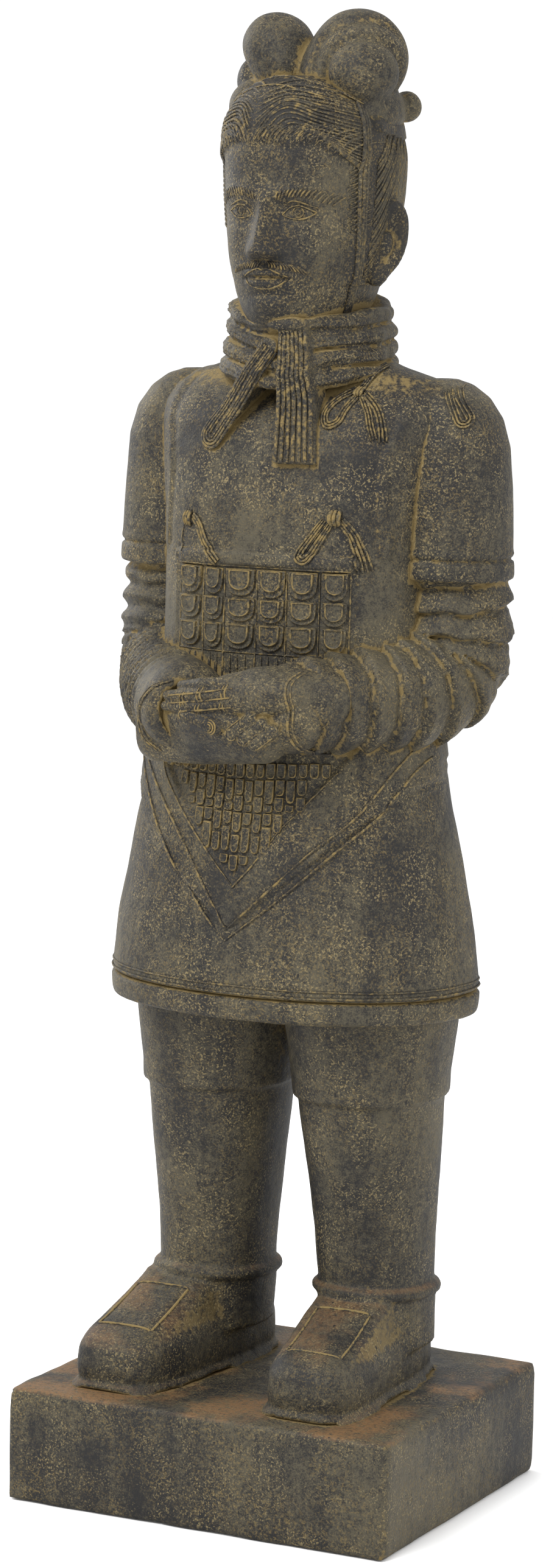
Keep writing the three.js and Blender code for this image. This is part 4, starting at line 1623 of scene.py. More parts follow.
def draw_face(head: Head) -> Strands:
    """Line the eyes and lips, and comb the brows and the moustache, all from the face's plan."""
    lines = Strands("face_lines", 6)
    plan, skin = head.plan, head.skull
    bare = {"step": 1.6, "far": HEAD_FAR}
    for s in (-1, 1):
        inner, middle, outer, eye = plan.eye_x - 15, plan.eye_x, plan.eye_x + 16, plan.eye
        upper = [(inner, -3), (inner + 8, 4.5), (middle + 3, 6), (outer, -0.5)]
        lower = [(inner, -3), (inner + 9, -6.5), (middle + 5, -6.5), (outer, -0.5)]
        fold = [(inner + 1, 4), (middle - 3, 11), (outer + 1, 4)]
        for line, thick in ((upper, 1.3), (lower, 1.1), (fold, 1.0)):
            run = [(x * s, eye + z) for x, z in line]
            lines.lay(run, thick, skin, taper=0.5, rub=0.75, **bare)
        for radius in (5.0, 2.2):
            turn = np.linspace(0, 2 * math.pi, 13)
            iris = [(plan.eye_x * s + radius * math.cos(a), eye - 0.3 + radius * math.sin(a)) for a in turn]
            lines.lay(iris, 0.8, skin, taper=1.0, rub=0.7, step=1.2, far=HEAD_FAR)
        for i in range(15):
            share = i / 14
            x = 11 + 47 * share
            z = plan.brow - 1 + 7.0 * math.sin(math.pi * min(share * 0.9 + 0.08, 1.0)) - 3.0 * share
            slant = 3.0 + 5.0 * share
            run = [(x * s, z - 5), ((x + slant * 0.5) * s, z), ((x + slant) * s, z + 4)]
            lines.lay(run, 1.35, skin, rub=0.6, **bare)
        for i in range(12):
            share = (i + 0.5) / 12
            x, z = 2 + 30 * share, plan.nose - 4.5 - 4.5 * share**2
            start, end = (x * s, z + 1), ((x + 3 + 6 * share) * s, z - 6.0 - 2.0 * share)
            middle = ((start[0] + end[0]) / 2 + 0.8 * s, (start[1] + end[1]) / 2 + 0.8)
            lines.lay([start, middle, end], 1.3, skin, rub=0.6, **bare)
    mouth, half = plan.mouth, 25.0
    bow = [(-half, 0.5), (-13, 6.0), (-5, 8.5), (0, 7.2)]
    bow += [(-x, z) for x, z in reversed(bow[:-1])]
    parting = [(-half, 0.5), (-10, -0.2), (0, 0.8), (10, -0.2), (half, 0.5)]
    below = [(-half, 0.5), (-15, -7.5), (0, -10.5), (15, -7.5), (half, 0.5)]
    for line, thick in ((bow, 1.0), (parting, 0.9), (below, 1.0)):
        run = [(x, mouth + z) for x, z in line]
        lines.lay(run, thick, skin, taper=0.5, rub=0.7, **bare)
    return lines


def ring_topknot(head: Head, topknot: Topknot) -> Strands:
    """Bind the foot of the coils with two thin rings."""
    lines = Strands("topknot_ring", 6)

    def both(x: Array, y: Array, z: Array) -> Array:
        """Give the distance to the head and the coils together."""
        return np.minimum(head.scalp(x, y, z), topknot.field(x, y, z))

    foot = [(-66, 1290), (-52, 1303), (-30, 1311), (-6, 1313), (25, 1307), (55, 1298), (72, 1288)]
    for drop, thick in ((0.0, 1.7), (9.0, 1.3)):
        lines.lay([(x, z - drop) for x, z in foot], thick, both, far=HEAD_FAR, taper=0.8, rub=0.75)
    return lines


def tie_ribbons(chest: Field, sleeve: Field) -> Strands:
    """Lay the bows and ribbons that fasten the armour's front.

    Args:
        chest: The coat's distance field.
        sleeve: The left sleeve's distance field.

    Returns:
        The ribbons.
    """
    lines = Strands("ribbons", 6)

    for x, z, wide, high in ((-83, 878, 9, 15), (79, 886, 11, 15), (78, 1008, 8, 9)):
        for i in (-1, 0, 1):
            foot, top = (x + i * wide / 3.4, z - high / 2), (x + i * wide / 3.0, z + high / 2)
            middle = (x + i * wide / 2.6, z)
            lines.lay([foot, middle, top], wide / 4.6, chest, arch=6.0, taper=0.9, rub=0.7, step=1.6)
    raised = {"lift": 1.1, "rub": 0.6}
    curl = [(74, 1010), (61, 1001), (54, 988), (59, 976), (69, 979), (72, 990), (77, 1003)]
    lines.ribbon(curl, (8, 8), 3, chest, step=2.0, **raised)
    for run, width, count in (
        ([(-77, 881), (-69, 873), (-60, 855), (-43, 837)], (8, 11), 3),
        ([(84, 884), (95, 869), (102, 851), (106, 834)], (9, 16), 4),
        ([(83, 1007), (101, 993), (111, 976), (114, 961)], (7, 9), 3),
        ([(82, 1004), (94, 990), (101, 976), (106, 963)], (6, 8), 3),
        ([(79, 1013), (81, 1022), (87, 1034)], (7, 8), 3),
    ):
        lines.ribbon(run, width, count, chest, **raised)
    for radius in (8.5, 5.6, 2.7):
        lines.lay(loop_round((71, 882), (50, 849), radius, radius * 0.3), 1.5, chest, **raised)
    lines.lay([(71, 881), (60, 866), (50, 850)], 0.9, chest, lift=0.3)
    lines.lay([(-90, 872), (-92, 858), (-90, 845)], 1.1, chest)

    def shoulder(x: Array, y: Array, z: Array) -> Array:
        """Give the distance to the coat and the sleeve together."""
        return np.minimum(chest(x, y, z), sleeve(x, y, z))

    for radius in (7.5, 4.8, 2.1):
        lines.lay(loop_round((158, 1014), (178, 984), radius, 2.0), 1.3, shoulder, lift=0.6)
    return lines


def fold_tails(scarf: Scarf) -> Strands:
    """Pleat the scarf's two tails."""
    lines = Strands("scarf_tails", 8)
    for i in range(7):
        share = (i - 3) / 3.5
        run = [(35.5 - 12.0 * t + share * (21.0 - 8.3 * t), 936.0 + 131.0 * t) for t in np.linspace(0, 1, 6)]
        lines.lay(run, 2.7, scarf.field, taper=0.75, rub=0.5, lift=-0.2)
    for radius, thick in ((12.4, 1.7), (9.2, 1.6), (6.0, 1.6), (2.8, 1.5)):
        run = loop_round((0, scarf.tie), (-62, 961), radius, radius * 0.25)
        lines.lay(run, thick, scarf.field, rub=0.55, taper=0.9)
    lines.lay([(0, 1046), (-30, 1004), (-62, 960)], 1.4, scarf.field, rub=0.45)
    return lines


def rule_coat(chest: Field) -> Strands:
    """Lay the armour's thin lines, the apron's piping and the hem's two lines."""
    lines = Strands("coat_lines", 5)
    for x in COLUMN_LINES:
        lines.lay([(x, 700), (x, 770), (x, 833)], 1.2, chest, rub=0.65, taper=0.9)
    for x in (-84, -77, -69, -51, -43, -27, -19, -10, 8, 15, 25, 42, 50, 58, 75, 84):
        lines.lay([(x, 706), (x, 730), (x, 747)], 1.9, chest, rub=0.45)
    for z in (834.5, 749.5):
        lines.lay([(-92, z), (0, z), (95, z)], 1.2, chest, rub=0.6, taper=0.8)
    lines.lay([(-92, 848.5), (0, 849.5), (95, 848.5)], 1.2, chest, rub=0.7, taper=0.8)
    outer = [(-150, 655), (-116, 615), (-69, 561), (-9, 478), (27, 512), (69, 555), (114, 598), (151, 665)]
    below = [(-150, 640), (-94, 556), (-45, 500), (-12, 465), (43, 510), (94, 559), (132, 600), (158, 655)]
    inner = [(-104, 640), (-96, 619), (-62, 579), (-34, 549), (-5, 519)]
    inner += [(15, 542), (38, 577), (58, 598), (92, 637)]
    for line, thick in ((outer, 1.7), (below, 1.7), (inner, 1.2)):
        tip = min(range(len(line)), key=lambda k: line[k][1])
        for half in (line[: tip + 1], line[tip:]):
            lines.lay(half, thick, chest, rub=0.6, taper=0.8)
    turn = np.linspace(-math.pi, math.pi, 97)
    for z in (HEM_GROOVE_Z + 6, HEM_GROOVE_Z + 13):
        ring = np.stack([240 * np.sin(turn), BODY_Y - 190 * np.cos(turn), np.full(97, z)], axis=1)
        place, _ = settle(ring, chest, 0.0, 14)
        lines.lines.append((place, np.full(97, 1.3), np.full(97, 0.55)))
    return lines


def armour_plates() -> Plates:
    """Set the armour's rows of plates, each with a tongue hanging in it."""
    rings = [
        (0.46, 0.47, -0.47, -3.5, 0.0),
        (0.46, 0.47, -0.47, 1.9, 0.3),
        (0.44, 0.45, -0.45, 2.7, 0.55),
        (0.41, 0.42, -0.42, 2.4, 0.1),
        (0.34, 0.44, -0.27, 2.2, 0.0),
        (0.34, 0.44, -0.27, 4.2, 0.3),
        (0.32, 0.43, -0.25, 4.9, 0.65),
        (0.29, 0.41, -0.22, 4.9, 0.65),
        (0.27, 0.39, -0.20, 4.0, 0.1),
        (0.20, 0.32, -0.12, 4.2, 0.0),
    ]
    plates = Plates("armour_plates", PlateShape("plate", rings, 2.1), 0.03)
    for left, right in zip(COLUMN_LINES[:-1], COLUMN_LINES[1:]):
        for top, foot in zip(ROW_LINES[:-1], ROW_LINES[1:]):
            plates.add((left + right) / 2, (top + foot) / 2, right - left - 1.0, top - foot - 0.5)
    return plates


def apron_bricks(torso: Torso) -> Plates:
    """Set the small upright plates inside the apron's border."""
    rings = [
        (0.44, 0.47, -0.47, -2.5, 0.0),
        (0.44, 0.47, -0.47, 1.9, 0.4),
        (0.40, 0.44, -0.44, 3.0, 0.8),
        (0.33, 0.39, -0.39, 2.8, 0.4),
        (0.25, 0.33, -0.33, 2.0, 0.0),
    ]
    plates = Plates("apron_plates", PlateShape("small_plate", rings, 3.0, 7), 0.1)
    edge = np.array(torso.apron_edge(-6, 519, 0.86))
    for i, x in enumerate(np.arange(-93.0, 93.0, 10.8)):
        between = (605, 597, 584, 555, 545) if i % 2 else (613, 597, 576, 555, 538)
        heights = [646, 630, *between, 522]
        for top, foot in zip(heights[:-1], heights[1:]):
            sag = 4.0 * bell(np.array(x), 0.0, 45.0)
            middle = (top + foot) / 2 - float(sag)
            if middle > np.interp(x, edge[:, 0], edge[:, 1]) + 7.0:
                plates.add(x, middle, 10.2, top - foot - 0.6)
    return plates


def line_hands(hands: Hands, sleeves: Sequence[Sleeve]) -> Strands:
    """Line the fingers, knuckles and nails, and the edges of the cuffs.

    Args:
        hands: The hands.
        sleeves: The right and the left sleeve.

    Returns:
        The lines.
    """
    lines = Strands("hand_lines", 5)

    def clothed(x: Array, y: Array, z: Array) -> Array:
        """Give the distance to the hands and sleeves together."""
        return np.minimum(hands.field(x, y, z), np.minimum(*(sleeve.field(x, y, z) for sleeve in sleeves)))

    cuffs = (
        [(76, 741), (71, 730), (74, 706), (73, 680), (79, 652)],
        [(-58, 724), (-76, 717), (-92, 700), (-97, 682), (-90, 664), (-74, 652)],
    )
    for cuff in cuffs:
        for drop, thick in ((0.0, 2.0), (4.5, 1.4)):
            run = [(x + math.copysign(drop, x), z) for x, z in cuff]
            lines.lay(run, thick, clothed, far=HANDS_FAR, rub=0.6)
    bare = {"step": 1.6, "rub": 0.8, "far": HANDS_FAR}
    for height, sag in ((722.5, 5.5), (713.5, 5.0), (704.0, 4.5)):
        run = [(18, height + 1), (-18, height - sag), (-58, height - 2.2 * sag)]
        lines.lay(run, 1.3, hands.field, **bare)
    creases = ((12, 727), (8, 726), (-14, 723), (-18, 722), (-36, 716), (-40, 715))
    for x, top in creases:
        foot = top - (15 if x > -30 else 14)
        lines.lay([(x, top), (x - 2, (top + foot) / 2), (x, foot)], 1.2, hands.field, **bare)
        lines.lay([(x - 2, foot - 2), (x - 4, foot - 8), (x - 2, foot - 13)], 1.1, hands.field, **bare)
    for radius in (9.0, 6.5, 4.0):
        turn = np.linspace(-1.9, 1.6, 9)
        arc = [(-6 + radius * math.cos(a), 684 + 0.8 * radius * math.sin(a)) for a in turn]
        lines.lay(arc, 1.1, hands.field, **bare)
    for start, end in LOWER_FINGERS:
        lines.lay(loop_round(end, start, 5.8), 1.2, hands.field, **bare)
    return lines


# Finish


@dataclass(frozen=True)
class Finish:
    """Tones and amounts of the rubbed stone finish on one kind of piece, with how much painted side light it
    takes.
    """

    name: str
    dark: tuple[float, float, float] = (0.0130, 0.0126, 0.0126)
    light: tuple[float, float, float] = (0.0605, 0.0525, 0.0345)
    patina: tuple[float, float, float] = (0.165, 0.118, 0.046)
    speck: tuple[float, float, float] = (0.200, 0.155, 0.075)
    rust: tuple[float, float, float] = (0.140, 0.077, 0.033)
    patina_amount: float = 1.0
    speck_amount: float = 0.75
    rust_amount: float = 0.0
    # How much sides and tops are painted lighter: painted side light, with dust on the tops.
    side_dust: float = 0.05
    pinholes: float = 1.0


class Wiring:
    """Short ways to add and link nodes in one tree."""

    def __init__(self, tree: Tree) -> None:
        """Take the tree."""
        self.tree = tree

    def put(self, target: Socket, value: object) -> None:
        """Link a socket to the target, or set a plain value on it."""
        if isinstance(value, Socket):
            self.tree.links.new(value, target)
        else:
            target.default_value = (*value, 1.0) if target.type == "RGBA" else value

    def add(self, kind: str, inputs: dict | None = None, **settings: object) -> bpy.types.Node:
        """Add a node.

        Args:
            kind: Its type name.
            inputs: Sockets or plain values for its inputs, by name or number.
            **settings: Properties to set.

        Returns:
            The node.
        """
        made = self.tree.nodes.new(kind)
        for key, value in settings.items():
            setattr(made, key, value)
        for key, value in (inputs or {}).items():
            self.put(made.inputs[key], value)
        return made

    def math(self, operation: str, first: object, second: object = 0.0, clamp: bool = False) -> Socket:
        """Work out two sockets or numbers, the result held to 0..1 if clamped."""
        inputs = {0: first, 1: second}
        return self.add("ShaderNodeMath", inputs, operation=operation, use_clamp=clamp).outputs[0]

    def times(self, first: object, second: object, clamp: bool = False) -> Socket:
        """Multiply two sockets or numbers, the result held to 0..1 if clamped."""
        return self.math("MULTIPLY", first, second, clamp)

    def plus(self, first: object, second: object) -> Socket:
        """Add up two sockets or numbers."""
        return self.math("ADD", first, second)

    def span(self, value: object, low: float, high: float) -> Socket:
        """Map a value smoothly so that low gives 0 and high gives 1."""
        inputs = {"Value": value, "From Min": low, "From Max": high}
        return self.add("ShaderNodeMapRange", inputs, interpolation_type="SMOOTHSTEP").outputs["Result"]

    def noise(self, place: Socket, scale: float, detail: float = 2.0, stretch: Row = (1, 1, 1)) -> Socket:
        """Add a noise pattern.

        Args:
            place: Coordinates' socket.
            scale: Scale of the noise.
            detail: Its octaves.
            stretch: Scale of the coordinates on each axis.

        Returns:
            The pattern's value.
        """
        mapping = self.add("ShaderNodeMapping", {"Vector": place, "Scale": stretch})
        inputs = {"Vector": mapping.outputs[0], "Scale": scale, "Detail": detail, "Roughness": 0.6}
        return self.add("ShaderNodeTexNoise", inputs).outputs["Fac"]

    def mix(self, share: object, first: object, second: object) -> Socket:
        """Mix two colours, the share being how much of the second."""
        return self.add("ShaderNodeMix", {0: share, 6: first, 7: second}, data_type="RGBA").outputs[2]

    def facing(self) -> Sequence[Socket]:
        """Return the x, y and z of the way that the surface faces."""
        normal = self.add("ShaderNodeNewGeometry").outputs["Normal"]
        return self.add("ShaderNodeSeparateXYZ", {0: normal}).outputs


def add_sockets(tree: Tree, way: str, kinds: dict[str, str]) -> None:
    """Add inputs or outputs to a tree, each of the kind given by its name."""
    for key, kind in kinds.items():
        tree.interface.new_socket(key, in_out=way, socket_type=f"NodeSocket{kind}")


def new_group(name: str, inputs: dict[str, str], outputs: dict[str, str]) -> tuple[Wiring, dict, dict]:
    """Start a shader node group.

    Args:
        name: Name of the group.
        inputs: Kinds of its inputs, by name.
        outputs: Kinds of its outputs, by name.

    Returns:
        Its wiring, the sockets that its inputs give, and the sockets that its outputs take.
    """
    group = bpy.data.node_groups.new(name, "ShaderNodeTree")
    add_sockets(group, "INPUT", inputs)
    add_sockets(group, "OUTPUT", outputs)
    wire = Wiring(group)
    given, taken = wire.add("NodeGroupInput"), wire.add("NodeGroupOutput")
    return wire, {key: given.outputs[key] for key in inputs}, {key: taken.inputs[key] for key in outputs}


FLOAT, COLOUR, VECTOR = "Float", "Color", "Vector"
# Near black painted into the pinholes: painted shade inside the pits.
HOLE_SHADE_TONE = (0.014, 0.013, 0.012)


def pinholes(wire: Wiring, place: Socket) -> Socket:
    """Add the mask of the casting's pinholes, which are rare, small and longer than wide.

    Args:
        wire: Wiring of the group that takes them.
        place: Coordinates' socket.

    Returns:
        The mask's socket.
    """
    mapping = wire.add("ShaderNodeMapping", {"Vector": place, "Scale": (1.0, 1.0, 0.45)})
    cells = wire.add("ShaderNodeTexVoronoi", {"Vector": mapping.outputs[0], "Scale": 115.0})
    chance = wire.add("ShaderNodeSeparateXYZ", {0: cells.outputs["Color"]})
    rare = wire.math("GREATER_THAN", chance.outputs[0], 0.72)
    size = wire.plus(wire.times(chance.outputs[1], 0.10), 0.05)
    return wire.times(rare, wire.math("LESS_THAN", cells.outputs["Distance"], size))


class StoneGroups:
    """The effects that every piece of the casting shares."""

    def __init__(self) -> None:
        """Build the groups once."""
        self.body = self.build_body()
        self.patina = self.build_patina()
        self.relief = self.build_relief()

    @staticmethod
    def build_body() -> Tree:
        """Build the clouded charcoal body, with streaks that run down it; faces turned sideways and up are
        painted lighter, as painted side light with dust on the tops, and the painted shade darkens it.
        """
        wire, given, taken = new_group(
            "clouded_stone",
            {"Place": VECTOR, "Dark": COLOUR, "Light": COLOUR, "Side Dust": FLOAT, "Soot": FLOAT},
            {"Color": COLOUR},
        )
        place = given["Place"]
        cloud = wire.noise(place, 6.5, 5.0)
        streak = wire.times(wire.noise(place, 26.0, 5.0, (1.0, 1.0, 0.16)), 0.8)
        medium = wire.times(wire.noise(place, 150.0, 4.0), 0.85)
        fine = wire.noise(place, 640.0, 3.0)
        density = wire.plus(wire.plus(cloud, streak), wire.plus(medium, fine))
        # Painted side light: faces turned across x, and faces turned up, are painted lighter; on the tops
        # this stands for dust and painted light together.
        across, _, up = wire.facing()
        aside = wire.span(wire.math("ABSOLUTE", across), 0.45, 0.95)
        painted_side_light_and_dust = wire.times(wire.math("MAXIMUM", aside, wire.span(up, 0.25, 0.9)), given["Side Dust"])
        share = wire.span(wire.plus(density, painted_side_light_and_dust), 1.66, 2.16)
        # The painted shade pulls the colour towards the dark tone.
        share = wire.times(share, wire.math("SUBTRACT", 1.0, given["Soot"]))
        wire.put(taken["Color"], wire.mix(share, given["Dark"], given["Light"]))
        return wire.tree

    @staticmethod
    def build_patina() -> Tree:
        """Build the ochre left in hollows, the light specks on raised places and the rust stain."""
        tones = ("Base", "Patina", "Speck", "Rust")
        amounts = ("Recess", "Patina Amount", "Speck Amount", "Rust Amount", "Pinholes")
        inputs = {"Place": VECTOR, **dict.fromkeys(tones, COLOUR), **dict.fromkeys(amounts, FLOAT)}
        wire, given, taken = new_group("rubbed_patina", inputs, {"Color": COLOUR, "Mask": FLOAT})
        place = given["Place"]
        broken = wire.noise(place, 190.0, 4.0)
        patch = wire.span(wire.noise(place, 14.0, 3.0), 0.36, 0.62)
        fine = wire.span(wire.noise(place, 420.0, 3.0), 0.5, 0.66)
        edge = wire.plus(given["Recess"], wire.times(wire.math("SUBTRACT", broken, 0.5), 1.9))
        hollow = wire.times(wire.span(edge, 0.38, 0.82), 0.8)
        washed = wire.times(wire.times(patch, fine), 0.5)
        mask = wire.times(wire.math("MAXIMUM", hollow, washed), given["Patina Amount"], True)
        colour = wire.mix(mask, given["Base"], given["Patina"])
        grains = wire.span(wire.noise(place, 460.0, 3.0), 0.545, 0.63)
        fields = wire.span(wire.noise(place, 21.0, 4.0), 0.38, 0.62)
        specks = wire.times(wire.times(grains, fields), given["Speck Amount"], True)
        colour = wire.mix(specks, colour, given["Speck"])
        stain = wire.span(wire.noise(place, 11.0, 5.0), 0.44, 0.60)
        mottled = wire.span(wire.noise(place, 240.0, 4.0), 0.25, 0.6)
        lying = wire.span(wire.facing()[2], 0.3, 0.85)
        rust = wire.times(wire.times(stain, mottled), given["Rust Amount"], True)
        colour = wire.mix(wire.times(rust, lying), colour, given["Rust"])
        # The pinholes are painted near black, as painted shade in the pits.
        holes = wire.times(pinholes(wire, place), given["Pinholes"])
        wire.put(taken["Color"], wire.mix(holes, colour, HOLE_SHADE_TONE))
        wire.put(taken["Mask"], mask)
        return wire.tree

    @staticmethod
    def build_relief() -> Tree:
        """Build the height of the grain, with its pits and pinholes."""
        inputs = {"Place": VECTOR, "Pinholes": FLOAT}
        wire, given, taken = new_group("stone_grain", inputs, {"Height": FLOAT})
        place = given["Place"]
        sand = wire.noise(place, 480.0, 3.0)
        worn = wire.noise(place, 95.0, 5.0)
        height = wire.plus(wire.times(sand, 0.45), wire.times(worn, 0.9))
        hole = wire.times(pinholes(wire, place), given["Pinholes"])
        wire.put(taken["Height"], wire.math("SUBTRACT", height, wire.times(hole, 1.4)))
        return wire.tree


def stone_material(finish: Finish, groups: StoneGroups) -> bpy.types.Material:
    """Make the material of one finish.

    Args:
        finish: Its tones and amounts.
        groups: The shared effects.

    Returns:
        The material.
    """
    material = bpy.data.materials.new(finish.name)
    material.use_nodes = True
    wire = Wiring(material.node_tree)
    shader = wire.tree.nodes["Principled BSDF"]
    place = wire.add("ShaderNodeTexCoord").outputs["Object"]
    # Of the two stored attributes, the first places the patina in hollows and the second is painted shade
    # that darkens creases.
    recess, soot = (
        wire.add("ShaderNodeAttribute", attribute_name=key).outputs["Fac"] for key in ("recess", "soot")
    )
    inputs = {"Place": place, "Soot": soot, "Dark": finish.dark, "Light": finish.light}
    # How much the sides and tops are painted lighter, as painted light with dust.
    inputs["Side Dust"] = finish.side_dust
    body = wire.add("ShaderNodeGroup", inputs, node_tree=groups.body)
    inputs = {
        "Place": place,
        "Base": body.outputs["Color"],
        "Recess": recess,
        "Patina": finish.patina,
        "Speck": finish.speck,
        "Rust": finish.rust,
        "Patina Amount": finish.patina_amount,
        "Speck Amount": finish.speck_amount,
        "Rust Amount": finish.rust_amount,
        "Pinholes": finish.pinholes,
    }
    patina = wire.add("ShaderNodeGroup", inputs, node_tree=groups.patina)
    inputs = {"Place": place, "Pinholes": finish.pinholes}
    relief = wire.add("ShaderNodeGroup", inputs, node_tree=groups.relief)
    inputs = {"Strength": 0.6, "Distance": 0.0024, "Height": relief.outputs["Height"]}
    bump = wire.add("ShaderNodeBump", inputs)
    rough = wire.plus(wire.times(patina.outputs["Mask"], 0.25), 0.6)
    wire.put(shader.inputs["Normal"], bump.outputs["Normal"])
    wire.put(shader.inputs["Base Color"], patina.outputs["Color"])
    wire.put(shader.inputs["Roughness"], rough)
    shader.inputs["Specular IOR Level"].default_value = 0.2
    return material


# Putting it together


class Statue:
    """All the forms together, and the pieces dressed over them."""

    def __init__(self) -> None:
        """Lay out the forms and finishes."""
        self.torso = Torso()
        self.head = Head()
        self.topknot = Topknot()
        self.scarf = Scarf(self.torso.field)
        self.hands = Hands()
        self.sleeves = [Sleeve(Side.RIGHT, 8.0), Sleeve(Side.LEFT, 0.0)]
        self.legs = [Leg(Side.RIGHT, 119, 94), Leg(Side.LEFT, 98, 82)]
        self.forms: list[Form] = [
            Plinth().form(),
            *(leg.form() for leg in self.legs),
            *self.torso.forms(),
            *(sleeve.form() for sleeve in self.sleeves),
            self.hands.form(),
            self.scarf.form(),
            self.head.form(),
            self.topknot.form(),
        ]
        groups = StoneGroups()
        self.stone = stone_material(Finish("rubbed_stone"), groups)
        self.carved = stone_material(Finish("carved_stone", pinholes=0.0, patina_amount=1.25), groups)
        self.shod = stone_material(Finish("shoe_stone", rust_amount=0.5, patina_amount=0.7), groups)
        self.block = stone_material(Finish("plinth_stone", rust_amount=0.95), groups)

    def distance(self, points: Array, reach: float) -> Array:
        """Give the distance from points to the whole statue.

        Args:
            points: Points in mm, one row each.
            reach: Distances are exact only below this.

        Returns:
            Signed distance in mm.
        """
        x, y, z = points.T.astype(np.float32)
        result = np.full(x.shape, reach, np.float32)
        for form in self.forms:
            result = np.minimum(result, form.near(x, y, z, reach))
        return result

    def shade_recess(self, piece: Piece, sunk: float = 1.0) -> None:
        """Store on a piece how sunk each point of it lies among its surroundings, for the patina in its
        hollows and for the painted shade that darkens its creases and the bed of the hair.

        Args:
            piece: The piece.
            sunk: How much its hollows count, where it has rubbed places as well.
        """
        mesh = piece.data
        count = len(mesh.vertices)
        points = np.empty(count * 3, np.float32)
        mesh.vertices.foreach_get("co", points)
        ways = np.empty(count * 3, np.float32)
        mesh.vertex_normals.foreach_get("vector", ways)
        points = points.reshape(-1, 3) / MM - np.array([0, 0, PLINTH_HEIGHT], np.float32)
        ways = ways.reshape(-1, 3)
        close, far = 4.5, 16.0
        near = 1.0 - self.distance(points + ways * close, close + 2.5) / close
        # Painted shade: points close to other surfaces, in creases and between parts, are painted darker.
        soot = 0.8 * np.clip(near * 1.6 - 0.5, 0, 1)
        wide = 1.0 - self.distance(points + ways * far, far + 4.0) / far
        recess = np.clip(near * 1.5, 0, 1) * 0.75 + np.clip(wide, 0, 1) * 0.45
        rubbed = mesh.attributes.get("rub")
        if rubbed is not None:
            bare = np.empty(count, np.float32)
            rubbed.data.foreach_get("value", bare)
            recess = np.maximum(recess * sunk, bare * np.clip(1.0 - near, 0, 1) ** 2)
            # Painted shade on laid strands and plates: they are painted darker the closer other surfaces lie.
            soot = np.clip(near * 1.3, 0, 0.9)
        elif piece.name == "head":
            # The head is also painted dark inside the hair's edge, as painted shade in the bed between the
            # strands.
            soot = np.maximum(soot, 0.85 * step_up(self.head.hair_mask(*points.T), -3.0, 2.0))
        store(mesh, "recess", np.clip(recess, 0, 1))
        store(mesh, "soot", np.clip(soot, 0, 1))

    def finish_for(self, name: str) -> bpy.types.Material:
        """Choose the material for a piece by its name."""
        if name == "plinth":
            return self.block
        return self.shod if name.endswith("_leg") else self.stone

    def dress(self, piece: Piece, sunk: float = 1.0) -> None:
        """Finish a piece, tie it to the frame and report it.

        Args:
            piece: The piece.
            sunk: How much its hollows count, where it has rubbed places as well.
        """
        self.shade_recess(piece, sunk)
        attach(piece, BODY_NAME)
        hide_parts(NODE)
        LOG.info("%s: %d faces", piece.name, len(piece.data.polygons))

    def build(self) -> None:
        """Skin every form, lay the strands and plates on them, and dress all of it."""
        for form in self.forms:
            points, faces = form.skin()
            piece = mesh_object(form.name, points, faces)
            piece.data.materials.append(self.finish_for(piece.name))
            self.dress(piece)
        trees = NodeTrees()
        chest = self.torso.field
        laid = [
            comb_hair(self.head),
            tie_straps(self.head),
            draw_face(self.head),
            ring_topknot(self.head, self.topknot),
            tie_ribbons(chest, self.sleeves[1].field),
            fold_tails(self.scarf),
            rule_coat(chest),
            line_hands(self.hands, self.sleeves),
            *(leg.vamp_lines() for leg in self.legs),
        ]
        for strands in laid:
            piece = strands.build(trees, self.carved)
            self.dress(piece, 0.0)
        for plates in (armour_plates(), apron_bricks(self.torso)):
            piece = plates.build(chest, trees, self.carved)
            self.dress(piece, 0.8)


# Camera, floor and light


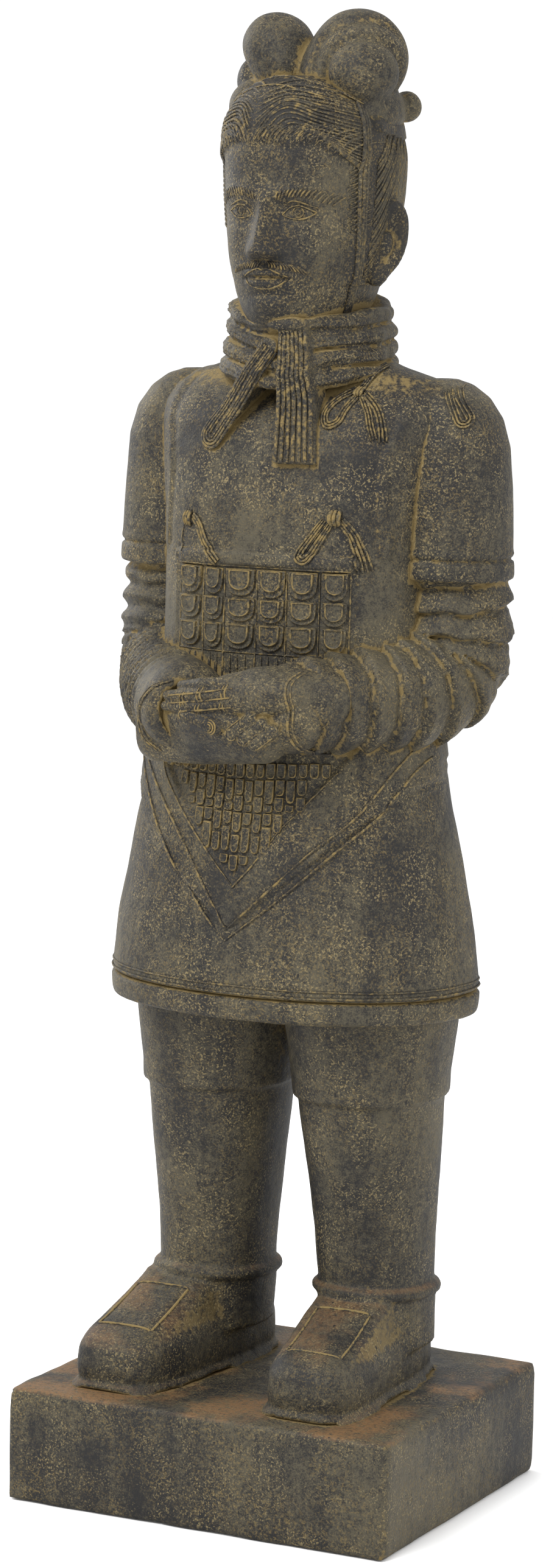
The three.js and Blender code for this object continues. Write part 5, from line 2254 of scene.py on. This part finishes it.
@dataclass(frozen=True)
class Studio:
    """A plain pale studio, seen by a long lens from the figure's left front."""

    place: tuple[float, float, float] = (1.993, -4.099, 1.340)
    yaw: float = math.radians(26.13)
    pitch: float = math.radians(7.66)
    roll: float = math.radians(1.37)
    lens: float = 104.82

    def camera(self) -> None:
        """Set the camera."""
        data = bpy.data.cameras.new("camera")
        data.sensor_width, data.lens = 36.0, self.lens
        camera = linked("camera", data)
        level = math.cos(self.pitch)
        ahead = Vector((-math.sin(self.yaw) * level, math.cos(self.yaw) * level, -math.sin(self.pitch)))
        across = Vector((math.cos(self.yaw), math.sin(self.yaw), 0.0))
        above = across.cross(ahead)
        right = across * math.cos(self.roll) + above * math.sin(self.roll)
        up = above * math.cos(self.roll) - across * math.sin(self.roll)
        turn = Matrix((right, up, -ahead)).transposed()
        camera.matrix_world = Matrix.Translation(self.place) @ turn.to_4x4()
        bpy.context.scene.camera = camera

    def floor(self) -> None:
        """Lay the pale floor."""
        mesh = bpy.data.meshes.new("floor")
        half = 9.0
        corners = [(-half, -half, 0), (half, -half, 0), (half, half, 0), (-half, half, 0)]
        mesh.from_pydata(corners, [], [(0, 1, 2, 3)])
        floor = linked("floor", mesh)
        material = bpy.data.materials.new("pale_floor")
        material.use_nodes = True
        shader = material.node_tree.nodes["Principled BSDF"]
        shader.inputs["Base Color"].default_value = (0.93, 0.93, 0.93, 1)
        shader.inputs["Roughness"].default_value = 0.9
        mesh.materials.append(material)

    def lamp(self, name: str, place: Row, aim: Row, size: float, power: float) -> None:
        """Hang a soft square lamp.

        Args:
            name: Its name.
            place: Where it hangs.
            aim: What it points at.
            size: Its side in metres.
            power: Its power in watts.
        """
        data = bpy.data.lights.new(name, "AREA")
        data.size, data.energy = size, power
        lamp = linked(name, data)
        lamp.location = place
        lamp.rotation_euler = (Vector(aim) - Vector(place)).to_track_quat("-Z", "Y").to_euler()

    def light(self) -> None:
        """Fill the room with pale light and hang the lamps."""
        world = bpy.data.worlds.new("studio")
        world.use_nodes = True
        light = world.node_tree.nodes["Background"]
        light.inputs["Color"].default_value = (1.0, 1.0, 1.0, 1)
        light.inputs["Strength"].default_value = 1.1
        bpy.context.scene.world = world
        self.lamp("key", (-0.6, -3.0, 3.9), (0, 0, 0.8), 1.6, 185.0)
        self.lamp("right", (3.6, 0.2, 2.4), (0, 0, 0.8), 1.8, 45.0)
        self.lamp("left", (-3.4, 0.8, 2.2), (0, 0, 0.8), 1.8, 70.0)
        bpy.context.scene.view_settings.view_transform = "Standard"


def main() -> None:
    """Load the frame, build the statue over it and light it."""
    logging.basicConfig(level=logging.INFO, format="%(message)s")
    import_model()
    studio = Studio()
    studio.camera()
    studio.floor()
    studio.light()
    Statue().build()


if __name__ == "__main__":
    main()
